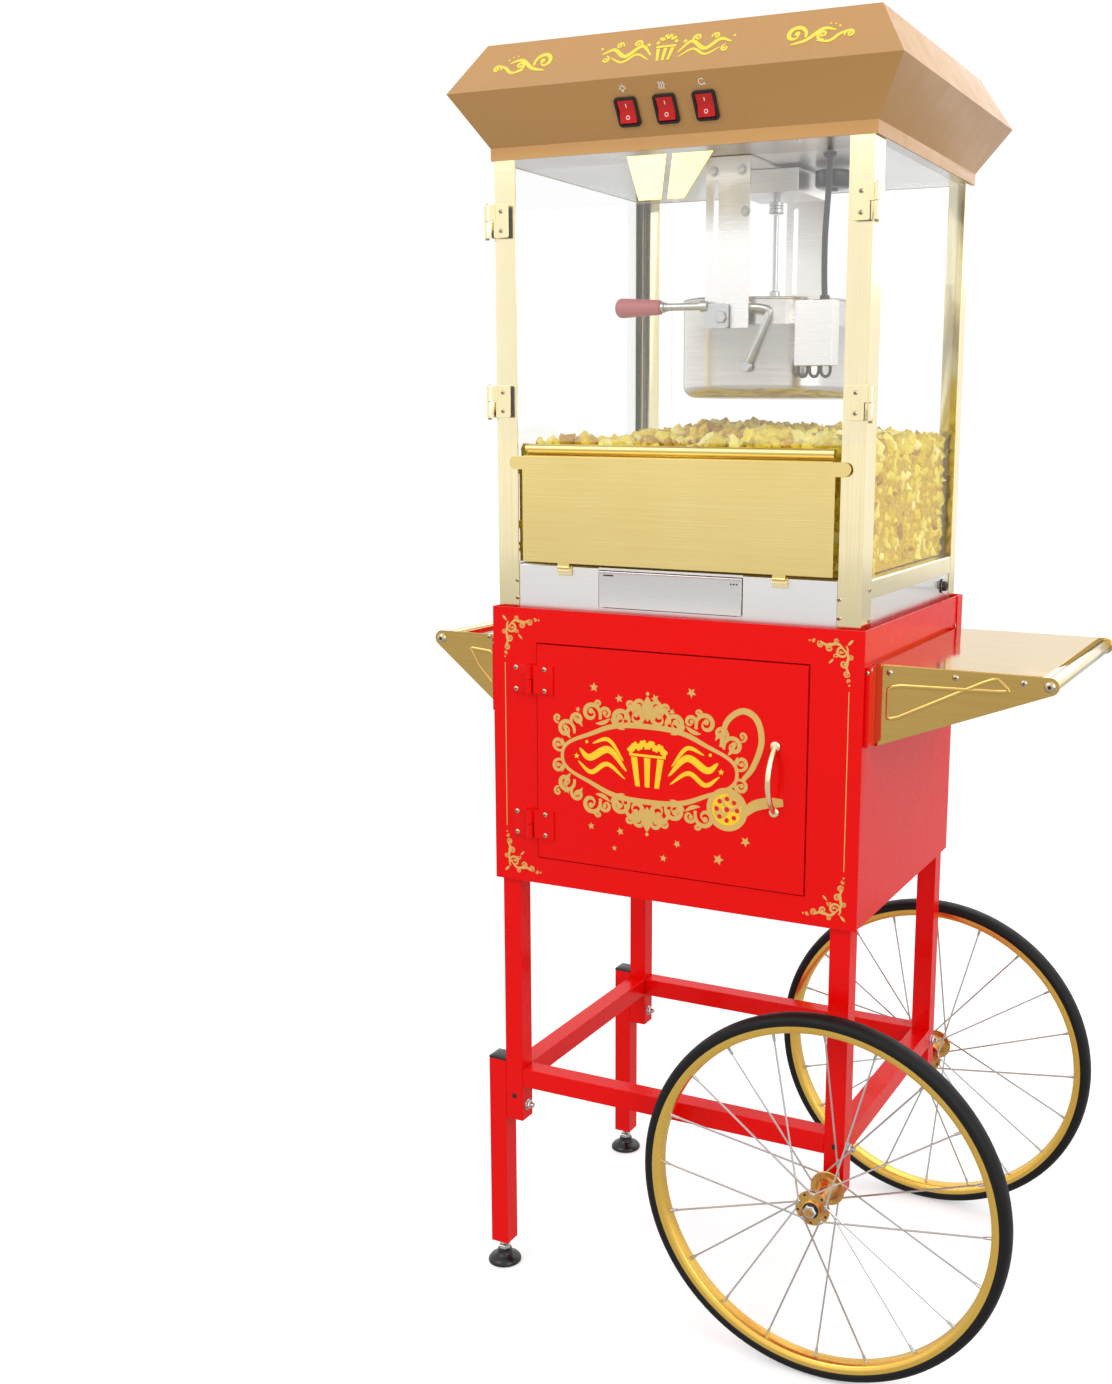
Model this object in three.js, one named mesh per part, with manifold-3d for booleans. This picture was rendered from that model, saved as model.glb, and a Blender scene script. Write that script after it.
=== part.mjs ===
// Popcorn maker on a two-wheeled cart, in millimetres, +Z up, +X to the right, +Y to the back.
// The cart's own frame starts at the cabinet's front left corner on the floor; the whole
// group is shifted at the end so that its origin is the middle of its footprint.
import * as THREE from 'three';
import { mergeVertices } from 'three/addons/utils/BufferGeometryUtils.js';
import Module from 'manifold-3d';

const wasm = await Module();
wasm.setup();

// ---------- driving dimensions ----------
const GAP = 0.3;                 // clearance between neighbouring pieces
const SHEET = 1.5;               // folded sheet metal

const CABINET = { width: 480, depth: 392, bottom: 542, top: 889 };
const BAND_BOTTOM = 852;         // lower edge of the tray's side walls
const DECK_TOP = 880;            // the tray's floor, which the machine stands on
const TRAY_BACK = 409;
const OPENING = { left: 61.5, right: 416.5, bottom: 575.5, top: 847.5 };
const DOOR_PAN = 12;             // depth of the cabinet door's folded edges
const DOOR_PIN = { x: 52.5, y: -4.7 };
const DOOR_HINGES = [619.5, 802];
const HINGE_HALF = 18;           // half the height of a cabinet hinge
const BARREL = { outer: 4.5, pin: 2, bore: 2.3 };
const PULL = { half: 39, bow: 42, radius: 3.6, foot: 6, x: 377, z: 710.5 };

const LEG = 25;                  // square tube
const LEG_INSET = 8;
const LEG_FRONT = 4;
const LEG_BOTTOM = 213;
const RAIL_BOTTOM = 261;
const EXTENSION = { bottom: 32, top: 292 };
const FOOT_RADIUS = 22;

const WHEEL = { x: 457, radius: 225, front: -34, rear: 436 };
const RIM = { outer: 215.5, floor: 208, inner: 203, half: 11.5 };
const HUB = { flange: 21, spacing: 26.4, barrel: 9, neck: 5, bore: 5.4 };
const AXLE_RADIUS = 5;
const AXLE_NUT = { radius: 8, thick: 6 };
const SPOKES = 20;

const SHELF = { top: 849, front: 29, rear: 368, root: 481, tip: 678, left: -95 };
const BRACKET = { bottom: 755, foot: 6, tipZ: 838.5, tipRadius: 10 };
const BAR_RADIUS = 8;

const MACHINE = { left: 2, right: 470, front: 13, back: 406 };
const BASE_TOP = 941;
const POST_TOP = 1414;
const POST = { face: 28, frontSide: 35, rearSide: 22 };
const GLASS = 3;
const FRONT_DOOR = { y: 8, thick: 4, bottom: 1090, top: 1400 };
const FRONT_PIN = { out: 6, y: 5.6, radius: 3.6, pin: 1.6, bore: 1.9 };
const FRONT_HINGE_HALF = 19;
const FRONT_HINGES = [1136, 1345];
const DRAWER = { left: 141.3, right: 325.9, bottom: 894.4, top: 938, depth: 215 };
const GATE = { left: 39, right: 437, bottom: 945, top: 1074, y: 8, pivotY: 9, pivotZ: 940 };

const HOOD = { left: -2, right: 473, front: 12, back: 416, lip: 1428, wide: 1485, top: 1542 };
const HOOD_FLARE = 36.5;
const SWITCHES = [187.3, 234.8, 282.3];

const PIVOT = { x: 268, z: 1234 };
const KETTLE = { x: 280, y: 215, radius: 112, bottom: 1143, top: 1259, wall: 3 };
const HANGER = { front: 84, rear: 343.5, thick: 2.5, left: 244, right: 299 };
const DRIVE = { radius: 4, bottom: 1364.4, top: 1387, coupling: 9, couplingTop: 1378 };
const STIRRER_TOP = DRIVE.bottom - 1.4;

// ---------- materials ----------
const metal = (color, roughness, metalness) =>
  new THREE.MeshStandardMaterial({ color, roughness, metalness });
const red = metal(0xd11209, 0.25, 0.1);
const gold = metal(0xe2c078, 0.25, 0.9);
const copper = metal(0xb98a52, 0.35, 0.6);
const steel = metal(0xc9c9c8, 0.3, 0.9);
const rubber = metal(0x15110f, 0.8, 0);
const zinc = metal(0xb08a4a, 0.35, 0.9);
const clear = new THREE.MeshStandardMaterial({
  color: 0xf2f6f6, roughness: 0.05, metalness: 0, transparent: true, opacity: 0.25,
});
const rocker = metal(0xc81a12, 0.3, 0);
const grip = metal(0xc96a6a, 0.5, 0);
const corn = metal(0xf0dc8c, 0.8, 0);

// ---------- solids from three.js geometry ----------
function solid(geometry) {
  const g = geometry.clone();
  g.deleteAttribute('normal');
  g.deleteAttribute('uv');
  const merged = mergeVertices(g, 1e-4);
  return new wasm.Manifold(new wasm.Mesh({
    numProp: 3,
    vertProperties: new Float32Array(merged.attributes.position.array),
    triVerts: new Uint32Array(merged.index.array),
  }));
}

function geometryOf(manifold) {
  const m = manifold.getMesh();
  const g = new THREE.BufferGeometry();
  g.setAttribute('position', new THREE.BufferAttribute(Float32Array.from(m.vertProperties), 3));
  g.setIndex(Array.from(m.triVerts));
  g.computeVertexNormals();
  return g;
}

// A block between two corners.
function block(x0, x1, y0, y1, z0, z1) {
  const g = new THREE.BoxGeometry(x1 - x0, y1 - y0, z1 - z0);
  g.translate((x0 + x1) / 2, (y0 + y1) / 2, (z0 + z1) / 2);
  return solid(g);
}

// A round bar between two points.
function bar(from, to, radius, sides = 12) {
  const a = new THREE.Vector3(...from);
  const b = new THREE.Vector3(...to);
  const along = b.clone().sub(a);
  const g = new THREE.CylinderGeometry(radius, radius, along.length(), sides);
  const turn = new THREE.Quaternion().setFromUnitVectors(
    new THREE.Vector3(0, 1, 0), along.clone().normalize());
  g.applyQuaternion(turn);
  g.translate(...a.add(b).multiplyScalar(0.5).toArray());
  return solid(g);
}

// A flat outline in X and Z, given a thickness along Y.
function plateXZ(shape, y0, y1, curveSegments = 8) {
  const g = new THREE.ExtrudeGeometry(shape, {
    depth: y1 - y0, bevelEnabled: false, curveSegments,
  });
  g.rotateX(Math.PI / 2);
  g.translate(0, y1, 0);
  return solid(g);
}

// A block whose top rectangle differs from its bottom one.
function tapered(low, high, z0, z1) {
  const g = new THREE.BoxGeometry(1, 1, 1);
  const p = g.attributes.position;
  for (let i = 0; i < p.count; i += 1) {
    const rect = p.getZ(i) > 0 ? high : low;
    const x = p.getX(i) > 0 ? rect.right : rect.left;
    const y = p.getY(i) > 0 ? rect.back : rect.front;
    p.setXYZ(i, x, y, p.getZ(i) > 0 ? z1 : z0);
  }
  return solid(g);
}

// A profile of radius and height, turned round the Z axis, or round the Y axis.
function turned(points, sides, alongY = false) {
  const g = new THREE.LatheGeometry(points.map(([r, h]) => new THREE.Vector2(r, h)), sides);
  if (!alongY) g.rotateX(Math.PI / 2);
  return solid(g);
}

const join = (pieces) => pieces.reduce((sum, piece) => sum.add(piece));
const cut = (body, tools) => tools.reduce((rest, tool) => rest.subtract(tool), body);

function rectangle(x0, x1, z0, z1) {
  const s = new THREE.Shape();
  s.moveTo(x0, z0);
  s.lineTo(x1, z0);
  s.lineTo(x1, z1);
  s.lineTo(x0, z1);
  s.closePath();
  return s;
}

function add(group, name, shape, material, position = [0, 0, 0]) {
  const mesh = new THREE.Mesh(geometryOf(shape), material);
  mesh.name = name;
  mesh.position.set(...position);
  group.add(mesh);
}

// ---------- cart: cabinet ----------
// Leaf, barrel and pin that the door hangs on, at height z.
function frameHinge(z) {
  const { x, y } = DOOR_PIN;
  return join([
    block(27, 47, -2, 0.2, z - HINGE_HALF, z + HINGE_HALF),
    block(46, x, -2, 0.2, z - HINGE_HALF, z - GAP),
    bar([x, y, z - HINGE_HALF], [x, y, z - GAP], BARREL.outer),
    bar([x, y, z - HINGE_HALF], [x, y, z + HINGE_HALF], BARREL.pin),
  ]);
}

function cabinetFrontFrame() {
  const { left, right, bottom, top } = OPENING;
  const panel = cut(block(0, CABINET.width, 0, SHEET, CABINET.bottom, CABINET.top), [
    block(left, right, -1, 2, bottom, top),
  ]);
  const lip = cut(block(left - SHEET, right + SHEET, 1, DOOR_PAN, bottom - SHEET, top + SHEET), [
    block(left, right, 0, DOOR_PAN + 1, bottom, top),
  ]);
  return join([panel, lip, ...DOOR_HINGES.map(frameHinge)]);
}

function doorHinge(z) {
  const { x, y } = DOOR_PIN;
  const leaf = join([
    block(58, 86, -3.5, -1.2, z - HINGE_HALF, z + HINGE_HALF),
    block(x, 59, -3.5, -1.8, z + GAP, z + HINGE_HALF),
    bar([x, y, z + GAP], [x, y, z + HINGE_HALF], BARREL.outer),
  ]);
  return cut(leaf, [bar([x, y, z - 30], [x, y, z + 30], BARREL.bore)]);
}

function cabinetDoor() {
  const x0 = OPENING.left + SHEET;
  const x1 = OPENING.right - SHEET;
  const z0 = OPENING.bottom + SHEET;
  const z1 = OPENING.top - SHEET;
  const pan = cut(block(x0, x1, -SHEET, DOOR_PAN, z0, z1), [
    block(x0 + SHEET, x1 - SHEET, 0, DOOR_PAN + 1, z0 + SHEET, z1 - SHEET),
  ]);
  return join([pan, ...DOOR_HINGES.map(doorHinge)]);
}

// A bowed grab handle: an arc of round bar between two feet.
function doorPull() {
  const { half, bow, radius, foot } = PULL;
  const line = new THREE.QuadraticBezierCurve3(
    new THREE.Vector3(0, 0, -half), new THREE.Vector3(0, -bow, 0), new THREE.Vector3(0, 0, half));
  const section = new THREE.Shape();
  section.absarc(0, 0, radius, 0, Math.PI * 2);
  const g = new THREE.ExtrudeGeometry(section, {
    extrudePath: line, steps: 10, curveSegments: 4, bevelEnabled: false,
  });
  const feet = [-half, half].map((z) => bar([0, 0, z], [0, -4, z], foot));
  return cut(join([solid(g), ...feet]), [block(-20, 20, 0, 20, -60, 60)]);
}

// A side sheet with the two folded ribs that carry a bracket each; side is -1 or 1.
function cabinetSide(side) {
  const middle = CABINET.width / 2;
  const span = (near, far) => [middle + side * near, middle + side * far].sort((a, b) => a - b);
  const face = middle - SHEET - GAP;
  const sheet = block(...span(face - SHEET, face), SHEET + GAP, CABINET.depth - 2,
    CABINET.bottom, BAND_BOTTOM + 22);
  const ribs = [[5, SHELF.front - GAP], [SHELF.rear + GAP, 384.5]].map(([y0, y1]) =>
    block(...span(face - 1, middle + 5), y0, y1, 757, 848));
  return join([sheet, ...ribs]);
}

// The back sheet and the floor are one folded piece, notched round the legs.
function cabinetBack() {
  const x0 = 3.6;
  const x1 = CABINET.width - 3.6;
  const z = CABINET.bottom + 1;
  const back = block(x0, x1, CABINET.depth - SHEET, CABINET.depth, CABINET.bottom, BAND_BOTTOM);
  const floor = block(x0, x1, SHEET + GAP, CABINET.depth - 1, z, z + SHEET);
  const notches = legPlaces().map(([, x, y]) =>
    block(x - 0.5, x + LEG + 0.5, y - 0.5, y + LEG + 0.5, z - 1, z + 3));
  return cut(join([back, floor]), notches);
}

// The tray that the machine stands in, with its side walls and rear corner strips.
function cabinetTray() {
  const w = CABINET.width;
  const deck = block(1, w - 1, SHEET + GAP, TRAY_BACK, DECK_TOP - SHEET, DECK_TOP);
  const wall = (x0, x1) => block(x0, x1, SHEET + GAP, TRAY_BACK - 1, BAND_BOTTOM + GAP, CABINET.top);
  const strip = (x0, x1) => block(x0, x1, 385, TRAY_BACK, 806, CABINET.top);
  const rear = block(-SHEET, w + SHEET, TRAY_BACK - SHEET, TRAY_BACK, BAND_BOTTOM, CABINET.top);
  return join([
    deck, wall(0, SHEET), wall(w - SHEET, w), strip(-SHEET, 0.1), strip(w - 0.1, w + SHEET), rear,
  ]);
}

// ---------- cart: legs, rails and feet ----------
function legPlaces() {
  const left = LEG_INSET;
  const right = CABINET.width - LEG_INSET - LEG;
  const rear = CABINET.depth - LEG_FRONT - LEG;
  return [
    ['leg_front_left', left, LEG_FRONT],
    ['leg_front_right', right, LEG_FRONT],
    ['leg_rear_left', left, rear],
    ['leg_rear_right', right, rear],
  ];
}

// Square tube standing on its corner (0, 0, 0), open at both ends.
function squareTube(length) {
  return cut(block(0, LEG, 0, LEG, 0, length), [
    block(SHEET, LEG - SHEET, SHEET, LEG - SHEET, -1, length + 1),
  ]);
}

function leg(x) {
  const tube = squareTube(DECK_TOP - SHEET - GAP - LEG_BOTTOM);
  const axleX = WHEEL.x - x;
  const axleZ = WHEEL.radius - LEG_BOTTOM;
  if (axleX < 0 || axleX > LEG) return tube;
  return cut(tube, [bar([axleX, -5, axleZ], [axleX, LEG + 5, axleZ], AXLE_RADIUS + 0.4)]);
}

// The bolted-on lower leg: a capped tube with a drilled floor for the foot's stem.
function legExtension() {
  const length = EXTENSION.top - EXTENSION.bottom;
  const middle = LEG / 2;
  const tube = join([
    squareTube(length),
    block(0, LEG, 0, LEG, 0, 4),
    block(0, LEG, 0, LEG, length - 3, length),
  ]);
  return cut(tube, [bar([middle, middle, -1], [middle, middle, 5], 4.4)]);
}

function levellingFoot() {
  return turned([
    [0, 0], [FOOT_RADIUS, 0], [FOOT_RADIUS, 4], [FOOT_RADIUS - 4, 8], [10, 13], [9, 18],
    [9, 24], [4, 25], [4, 60], [0, 60],
  ], 18);
}

function crossRailX() {
  return block(0, CABINET.width - 2 * (LEG_INSET + LEG + GAP), 0, LEG, 0, LEG);
}

function crossRailY() {
  return block(0, LEG, 0, CABINET.depth - 2 * (LEG_FRONT + LEG + GAP), 0, LEG);
}

// ---------- cart: wheels, turned round the Y axis ----------
function tyre() {
  const { outer, floor, half } = RIM;
  const r = WHEEL.radius;
  return turned([
    [floor + GAP, -half + 3], [outer + 1, -half + 3], [outer + 1, -13], [r - 5, -13],
    [r - 1, -8], [r, 0], [r - 1, 8], [r - 5, 13], [outer + 1, 13], [outer + 1, half - 3],
    [floor + GAP, half - 3], [floor + GAP, -half + 3],
  ], 40, true);
}

function rimRing() {
  const { outer, floor, inner, half } = RIM;
  return turned([
    [inner, -7], [inner + 3, -half], [outer, -half], [outer, -half + 2.5], [floor, -half + 2.5],
    [floor, half - 2.5], [outer, half - 2.5], [outer, half], [inner + 3, half], [inner, 7],
    [inner, -7],
  ], 40, true);
}

function hubBody() {
  const { flange, spacing, barrel, neck, bore } = HUB;
  const inner = spacing - 2;
  const end = spacing + neck;
  return turned([
    [bore, -end], [barrel + 2, -end], [barrel + 2, -spacing - 1], [flange, -spacing - 1],
    [flange, -inner], [barrel, -inner + 5], [barrel, inner - 5], [flange, inner],
    [flange, spacing + 1], [barrel + 2, spacing + 1], [barrel + 2, end], [bore, end],
    [bore, -end],
  ], 14, true);
}

// Spokes lean to and fro along the rim, and go to the two flanges in turn.
function spoke(index) {
  const at = (index / SPOKES) * Math.PI * 2;
  const lean = (Math.floor(index / 2) % 2 ? 1 : -1) * 0.9;
  const flange = index % 2 ? HUB.spacing : -HUB.spacing;
  const polar = (radius, angle, y) => [radius * Math.cos(angle), y, radius * Math.sin(angle)];
  return bar(polar(HUB.flange - 3, at + lean, flange * 0.99), polar(RIM.inner + 2, at, 0), 1.2, 4);
}

function spokedWheel() {
  const spokes = Array.from({ length: SPOKES }, (_, i) => spoke(i));
  return join([rimRing(), hubBody(), ...spokes]);
}

// Stub axle from its outer nut through the hub, a spacer and the leg to its inner nut.
// reach is the way from the wheel to the leg, and side is 1 where the leg lies behind.
function stubAxle(reach, side) {
  const spacer = HUB.spacing + HUB.neck + GAP;
  const { thick, radius } = AXLE_NUT;
  const piece = (from, to, r, sides) =>
    bar([0, side * from, 0], [0, side * to, 0], r, sides);
  return join([
    piece(-spacer - thick - 1, reach + LEG + thick + 2, AXLE_RADIUS, 12),
    piece(-spacer - thick, -spacer, radius, 6),
    piece(spacer, reach - GAP, radius, 12),
    piece(reach + LEG + GAP, reach + LEG + thick, radius, 6),
  ]);
}

// ---------- cart: shelf and push handle ----------
// A triangular side plate that tapers to a round tip; reach is negative to the left.
function bracket(reach, y0) {
  const { bottom, foot, tipZ, tipRadius } = BRACKET;
  const far = Math.abs(reach);
  const fall = new THREE.Vector2(far - foot, tipZ - bottom);
  const slope = Math.atan2(fall.y, fall.x) + Math.asin(tipRadius / fall.length());
  const steps = 8;
  const tip = Array.from({ length: steps + 1 }, (_, i) => {
    const a = slope - Math.PI / 2 + (i / steps) * (Math.PI - slope);
    return [far + tipRadius * Math.cos(a), tipZ + tipRadius * Math.sin(a)];
  });
  const outline = [[0, bottom], [foot, bottom], ...tip, [0, tipZ + tipRadius]];
  const side = Math.sign(reach);
  const s = new THREE.Shape(outline.map(([x, z]) => new THREE.Vector2(side * x, z)));
  return plateXZ(s, y0, y0 + SHEET);
}

function endBar() {
  const length = SHELF.rear - SHELF.front - 2 * (SHEET + GAP);
  return bar([0, 0, 0], [0, length, 0], BAR_RADIUS, 20);
}

// ---------- machine: base, posts and glass ----------
function cordGland() {
  const x = MACHINE.right - SHEET;
  return join([
    bar([x - 2, 350, 905], [x + 2, 350, 905], 9, 12),
    bar([x, 350, 905], [x + 5.5, 350, 905], 6, 12),
  ]);
}

function machineBase() {
  const x0 = MACHINE.left + SHEET + GAP;
  const x1 = MACHINE.right - SHEET - GAP;
  const y0 = MACHINE.front + SHEET + GAP;
  const y1 = MACHINE.back - SHEET - GAP;
  const z0 = DECK_TOP + GAP;
  const box = cut(block(x0, x1, y0, y1, z0, BASE_TOP), [
    block(x0 + SHEET, x1 - SHEET, y0 + SHEET, y1 - SHEET, z0 + SHEET, BASE_TOP - SHEET),
    block(DRAWER.left - 0.8, DRAWER.right + 0.8, 0, 30, DRAWER.bottom - 0.8, DRAWER.top + 0.8),
  ]);
  const slots = Array.from({ length: 7 }, (_, i) => {
    const x = DRAWER.left + 22 + i * 23;
    return block(x, x + 5, 60, 200, BASE_TOP - 5, BASE_TOP + 5);
  });
  const runners = [DRAWER.left - 4, DRAWER.right - 6].map((x) =>
    block(x, x + 10, y0 + 1, 235, z0 + 1, DRAWER.bottom + 1.3));
  return join([cut(box, slots), ...runners, cordGland()]);
}

function kernelDrawer() {
  const { left, right, bottom, top, depth } = DRAWER;
  const y = MACHINE.front;
  const front = block(left, right, y, y + 1.6, bottom, top);
  const pan = cut(block(left + 3, right - 3, y + 1, y + depth, bottom + 1.6, bottom + 36), [
    block(left + 3 + SHEET, right - 3 - SHEET, y + 1.6, y + depth - SHEET, bottom + 3.1, bottom + 50),
  ]);
  return join([front, pan]);
}

// An angle-section corner post; side is -1 left or 1 right.
function post(side, front) {
  const middle = (MACHINE.left + MACHINE.right) / 2;
  const half = (MACHINE.right - MACHINE.left) / 2;
  const span = (near, far) => [middle + side * near, middle + side * far].sort((a, b) => a - b);
  const z0 = DECK_TOP + GAP;
  const depth = front ? POST.frontSide : POST.rearSide;
  const y0 = front ? MACHINE.front : MACHINE.back - SHEET;
  const s0 = front ? MACHINE.front : MACHINE.back - depth;
  const angle = join([
    block(...span(half - POST.face, half), y0, y0 + SHEET, z0, POST_TOP),
    block(...span(half - SHEET, half), s0, s0 + depth, z0, POST_TOP),
  ]);
  if (!front) return angle;
  return join([angle, ...FRONT_HINGES.map((z) => postHinge(span, half, z))]);
}

// Leaf on the outside of the post, and the lower half of the barrel with its pin.
function postHinge(span, half, z) {
  const pin = half + FRONT_PIN.out;
  const [x] = span(pin, pin);
  const y = FRONT_PIN.y;
  const lower = z - FRONT_HINGE_HALF;
  const upper = z + FRONT_HINGE_HALF;
  return join([
    block(...span(half - 0.2, half + 1.5), MACHINE.front, MACHINE.front + 22, lower, upper),
    block(...span(half - 0.1, half + 1.5), y, MACHINE.front + 1, lower, z - GAP),
    block(...span(half, pin), y - 1.2, y + 1.2, lower, z - GAP),
    bar([x, y, lower], [x, y, z - GAP], FRONT_PIN.radius),
    bar([x, y, lower], [x, y, upper], FRONT_PIN.pin),
  ]);
}

// Clear door with its hinge leaves and the wedge-shaped pull plate at its top corner.
function frontDoor(side) {
  const middle = (MACHINE.left + MACHINE.right) / 2;
  const half = (MACHINE.right - MACHINE.left) / 2;
  const span = (near, far) => [middle + side * near, middle + side * far].sort((a, b) => a - b);
  const pin = half + FRONT_PIN.out;
  const [x] = span(pin, pin);
  const y = FRONT_PIN.y;
  const panel = block(...span(0.8, half - 1), FRONT_DOOR.y, FRONT_DOOR.y + FRONT_DOOR.thick,
    FRONT_DOOR.bottom, FRONT_DOOR.top);
  const leaves = FRONT_HINGES.map((z) => {
    const leaf = join([
      block(...span(half - 22, half - 2), 6.4, FRONT_DOOR.y + 0.2,
        z - FRONT_HINGE_HALF, z + FRONT_HINGE_HALF),
      block(...span(half - 4, pin), 5, 7.2, z + GAP, z + FRONT_HINGE_HALF),
      bar([x, y, z + GAP], [x, y, z + FRONT_HINGE_HALF], FRONT_PIN.radius),
    ]);
    return cut(leaf, [bar([x, y, z - 25], [x, y, z + 25], FRONT_PIN.bore)]);
  });
  return join([panel, pullPlate(side, middle), ...leaves]);
}

function pullPlate(side, middle) {
  const outline = side < 0
    ? [[-58, 1407.5], [-41, 1357], [-20, 1357], [-14, 1407.5]]
    : [[-9, 1407.5], [-13.5, 1357], [3, 1357], [40, 1407.5]];
  const s = new THREE.Shape(outline.map(([x, z]) => new THREE.Vector2(middle + x, z)));
  const edge = side < 0 ? -1.2 : 1.2;
  const limit = side < 0
    ? block(middle - 100, middle + edge, 0, 20, 1300, 1450)
    : block(middle + edge, middle + 100, 0, 20, 1300, 1450);
  return plateXZ(s, 6.4, FRONT_DOOR.y + 0.2).intersect(limit);
}

function glassSide(x) {
  return block(x, x + GLASS, MACHINE.front + SHEET + 0.5, MACHINE.back - SHEET - 0.5,
    BASE_TOP + GAP, POST_TOP - 0.5);
}

function glassRear() {
  const inset = SHEET + GLASS + 1.1;
  return block(MACHINE.left + inset, MACHINE.right - inset, MACHINE.back - 6, MACHINE.back - 3,
    BASE_TOP + GAP, POST_TOP - 0.5);
}

// The drop-down gate: sheet, rolled top hem, two ears and two hooked hinge tabs.
function gate() {
  const { left, right, bottom, top, y, pivotY, pivotZ } = GATE;
  const sheet = block(left, right, y, y + SHEET, bottom, top);
  const ears = block(21, 455, y, y + SHEET, top - 18, top - 2);
  const shelf = block(left + 1, right - 4, y, 23, top - 3, top - 1.5);
  const hem = bar([left + 1, 18.5, top + 7], [right - 4, 18.5, top + 7], 5.5, 12);
  const web = block(left + 1, right - 4, 17, 19, top - 3, top + 4);
  const tabs = [95, 373].map((x) => join([
    block(x - 8, x + 8, y, y + SHEET, pivotZ, bottom + 2),
    bar([x - 8, pivotY, pivotZ], [x + 8, pivotY, pivotZ], 2.2, 10),
  ]));
  return join([sheet, ears, shelf, hem, web, ...tabs]);
}

// ---------- machine: hood, switches and ceiling ----------
function hoodShape(inset) {
  const at = (out) => ({
    left: HOOD.left - out + inset,
    right: HOOD.right + out - inset,
    front: HOOD.front - out + inset,
    back: HOOD.back + out - inset,
  });
  const low = POST_TOP - (inset ? 5 : 0);
  const high = HOOD.top - inset;
  return join([
    tapered(at(0), at(0), low, HOOD.lip),
    tapered(at(0), at(HOOD_FLARE), HOOD.lip - 0.01, HOOD.wide),
    tapered(at(HOOD_FLARE), at(1), HOOD.wide - 0.01, high),
  ]);
}

// Frame on the hood's lower slope: +z up the slope, -y straight out of it.
function slopeFrame(x) {
  const tilt = Math.atan2(HOOD_FLARE, HOOD.wide - HOOD.lip);
  const frame = new THREE.Matrix4().makeRotationX(tilt);
  frame.setPosition(x, HOOD.front - HOOD_FLARE * 0.443, HOOD.lip + (HOOD.wide - HOOD.lip) * 0.443);
  return frame;
}

function canopy() {
  const holes = SWITCHES.map((x) => {
    const g = new THREE.BoxGeometry(22, 20, 28.5);
    g.applyMatrix4(slopeFrame(x));
    return solid(g);
  });
  return cut(hoodShape(0), [hoodShape(2), ...holes]);
}

// Rocker button with a shallow V face, drawn about its own pivot and resting tipped.
function rockerButton(x) {
  const s = new THREE.Shape();
  s.moveTo(-8, -12.5);
  s.lineTo(-5.4, 0);
  s.lineTo(-8, 12.5);
  s.lineTo(2, 10);
  s.lineTo(4, 0);
  s.lineTo(2, -10);
  s.closePath();
  const g = new THREE.ExtrudeGeometry(s, { depth: 20, bevelEnabled: false });
  g.translate(0, 0, -10);
  g.applyMatrix4(new THREE.Matrix4().set(0, 0, 1, 0, 1, 0, 0, 0, 0, 1, 0, 0, 0, 0, 0, 1));
  g.rotateX(THREE.MathUtils.degToRad(-7));
  g.translate(0, 4, 0);
  g.applyMatrix4(slopeFrame(x));
  return solid(g);
}

function ceilingPlate() {
  return block(HOOD.left + 2.4, HOOD.right - 2.4, HOOD.front + 2.4, HOOD.back - 2.4,
    POST_TOP + GAP, POST_TOP + GAP + SHEET);
}

// ---------- machine: kettle and drive ----------
// Two slotted hanger plates on a strap, with the bent latch rod on the front one.
function kettleHanger() {
  const { front, rear, thick, left, right } = HANGER;
  const top = POST_TOP - GAP;
  const plate = (y) => {
    const s = rectangle(left, right, 1222, top);
    const slot = new THREE.Path();
    slot.absarc(257, 1385, 3, 0, Math.PI, false);
    slot.absarc(257, 1282, 3, Math.PI, Math.PI * 2, false);
    s.holes.push(slot);
    const hole = new THREE.Path();
    hole.absarc(PIVOT.x, PIVOT.z, 5.5, 0, Math.PI * 2, false);
    s.holes.push(hole);
    return plateXZ(s, y, y + thick);
  };
  const strap = block(left, right, front, rear + thick, top - thick, top);
  const bends = [[297, 92, 1246], [323, 92, 1243], [294, 92, 1178]];
  const rod = join([
    bar(bends[0], bends[1], 3.5, 10),
    bar(bends[1], bends[2], 3.5, 10),
    block(right - 9, right, front + 1, 93, 1241, 1251),
  ]);
  return join([plate(front), plate(rear), strap, rod]);
}

// A round pan with a rounded foot, a fixed half lid and two trunnions.
function kettlePot() {
  const { x, y, radius, bottom, top, wall } = KETTLE;
  const h = top - bottom;
  const bend = 15;
  const corner = (r) => [0, 1, 2, 3].map((i) => {
    const a = -Math.PI / 2 + (i / 3) * (Math.PI / 2);
    return [radius - bend + r * Math.cos(a), bend + r * Math.sin(a)];
  });
  const pan = turned([
    [0, 0], ...corner(bend), [radius, h], [radius - wall, h],
    ...corner(bend - wall).reverse(), [0, wall],
  ], 30);
  const disc = bar([0, 0, h - 1.6], [0, 0, h], radius - 1, 30);
  const halfLid = cut(disc.intersect(block(-4.5, 130, -130, 130, 0, h + 5)), [
    bar([0, 0, 0], [0, 0, h + 5], 9),
  ]);
  const pin = (y0, y1) => bar([PIVOT.x - x, y0 - y, PIVOT.z - bottom],
    [PIVOT.x - x, y1 - y, PIVOT.z - bottom], 5);
  return join([pan, halfLid, pin(74, y - radius + 2.5), pin(y + radius - 2.5, 348)]);
}

// The half lid that lifts: a flat half disc with a rolled hinge edge.
function kettleLid() {
  const disc = bar([0, 0, 0], [0, 0, 1.6], KETTLE.radius + 1, 30);
  const half = disc.intersect(block(-130, -10, -130, 130, -1, 5));
  return join([half, bar([-10, -100, 1.3], [-10, 100, 1.3], 1.3, 8)]);
}

function kettleHandle() {
  const arm = join([
    block(-23, 8, -2.5, 2.5, -13, 16),
    bar([-20, 0, 13], [-78, 0, 13], 4.4, 12),
  ]);
  return cut(arm, [bar([0, -10, 0], [0, 10, 0], 5.4)]);
}

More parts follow.
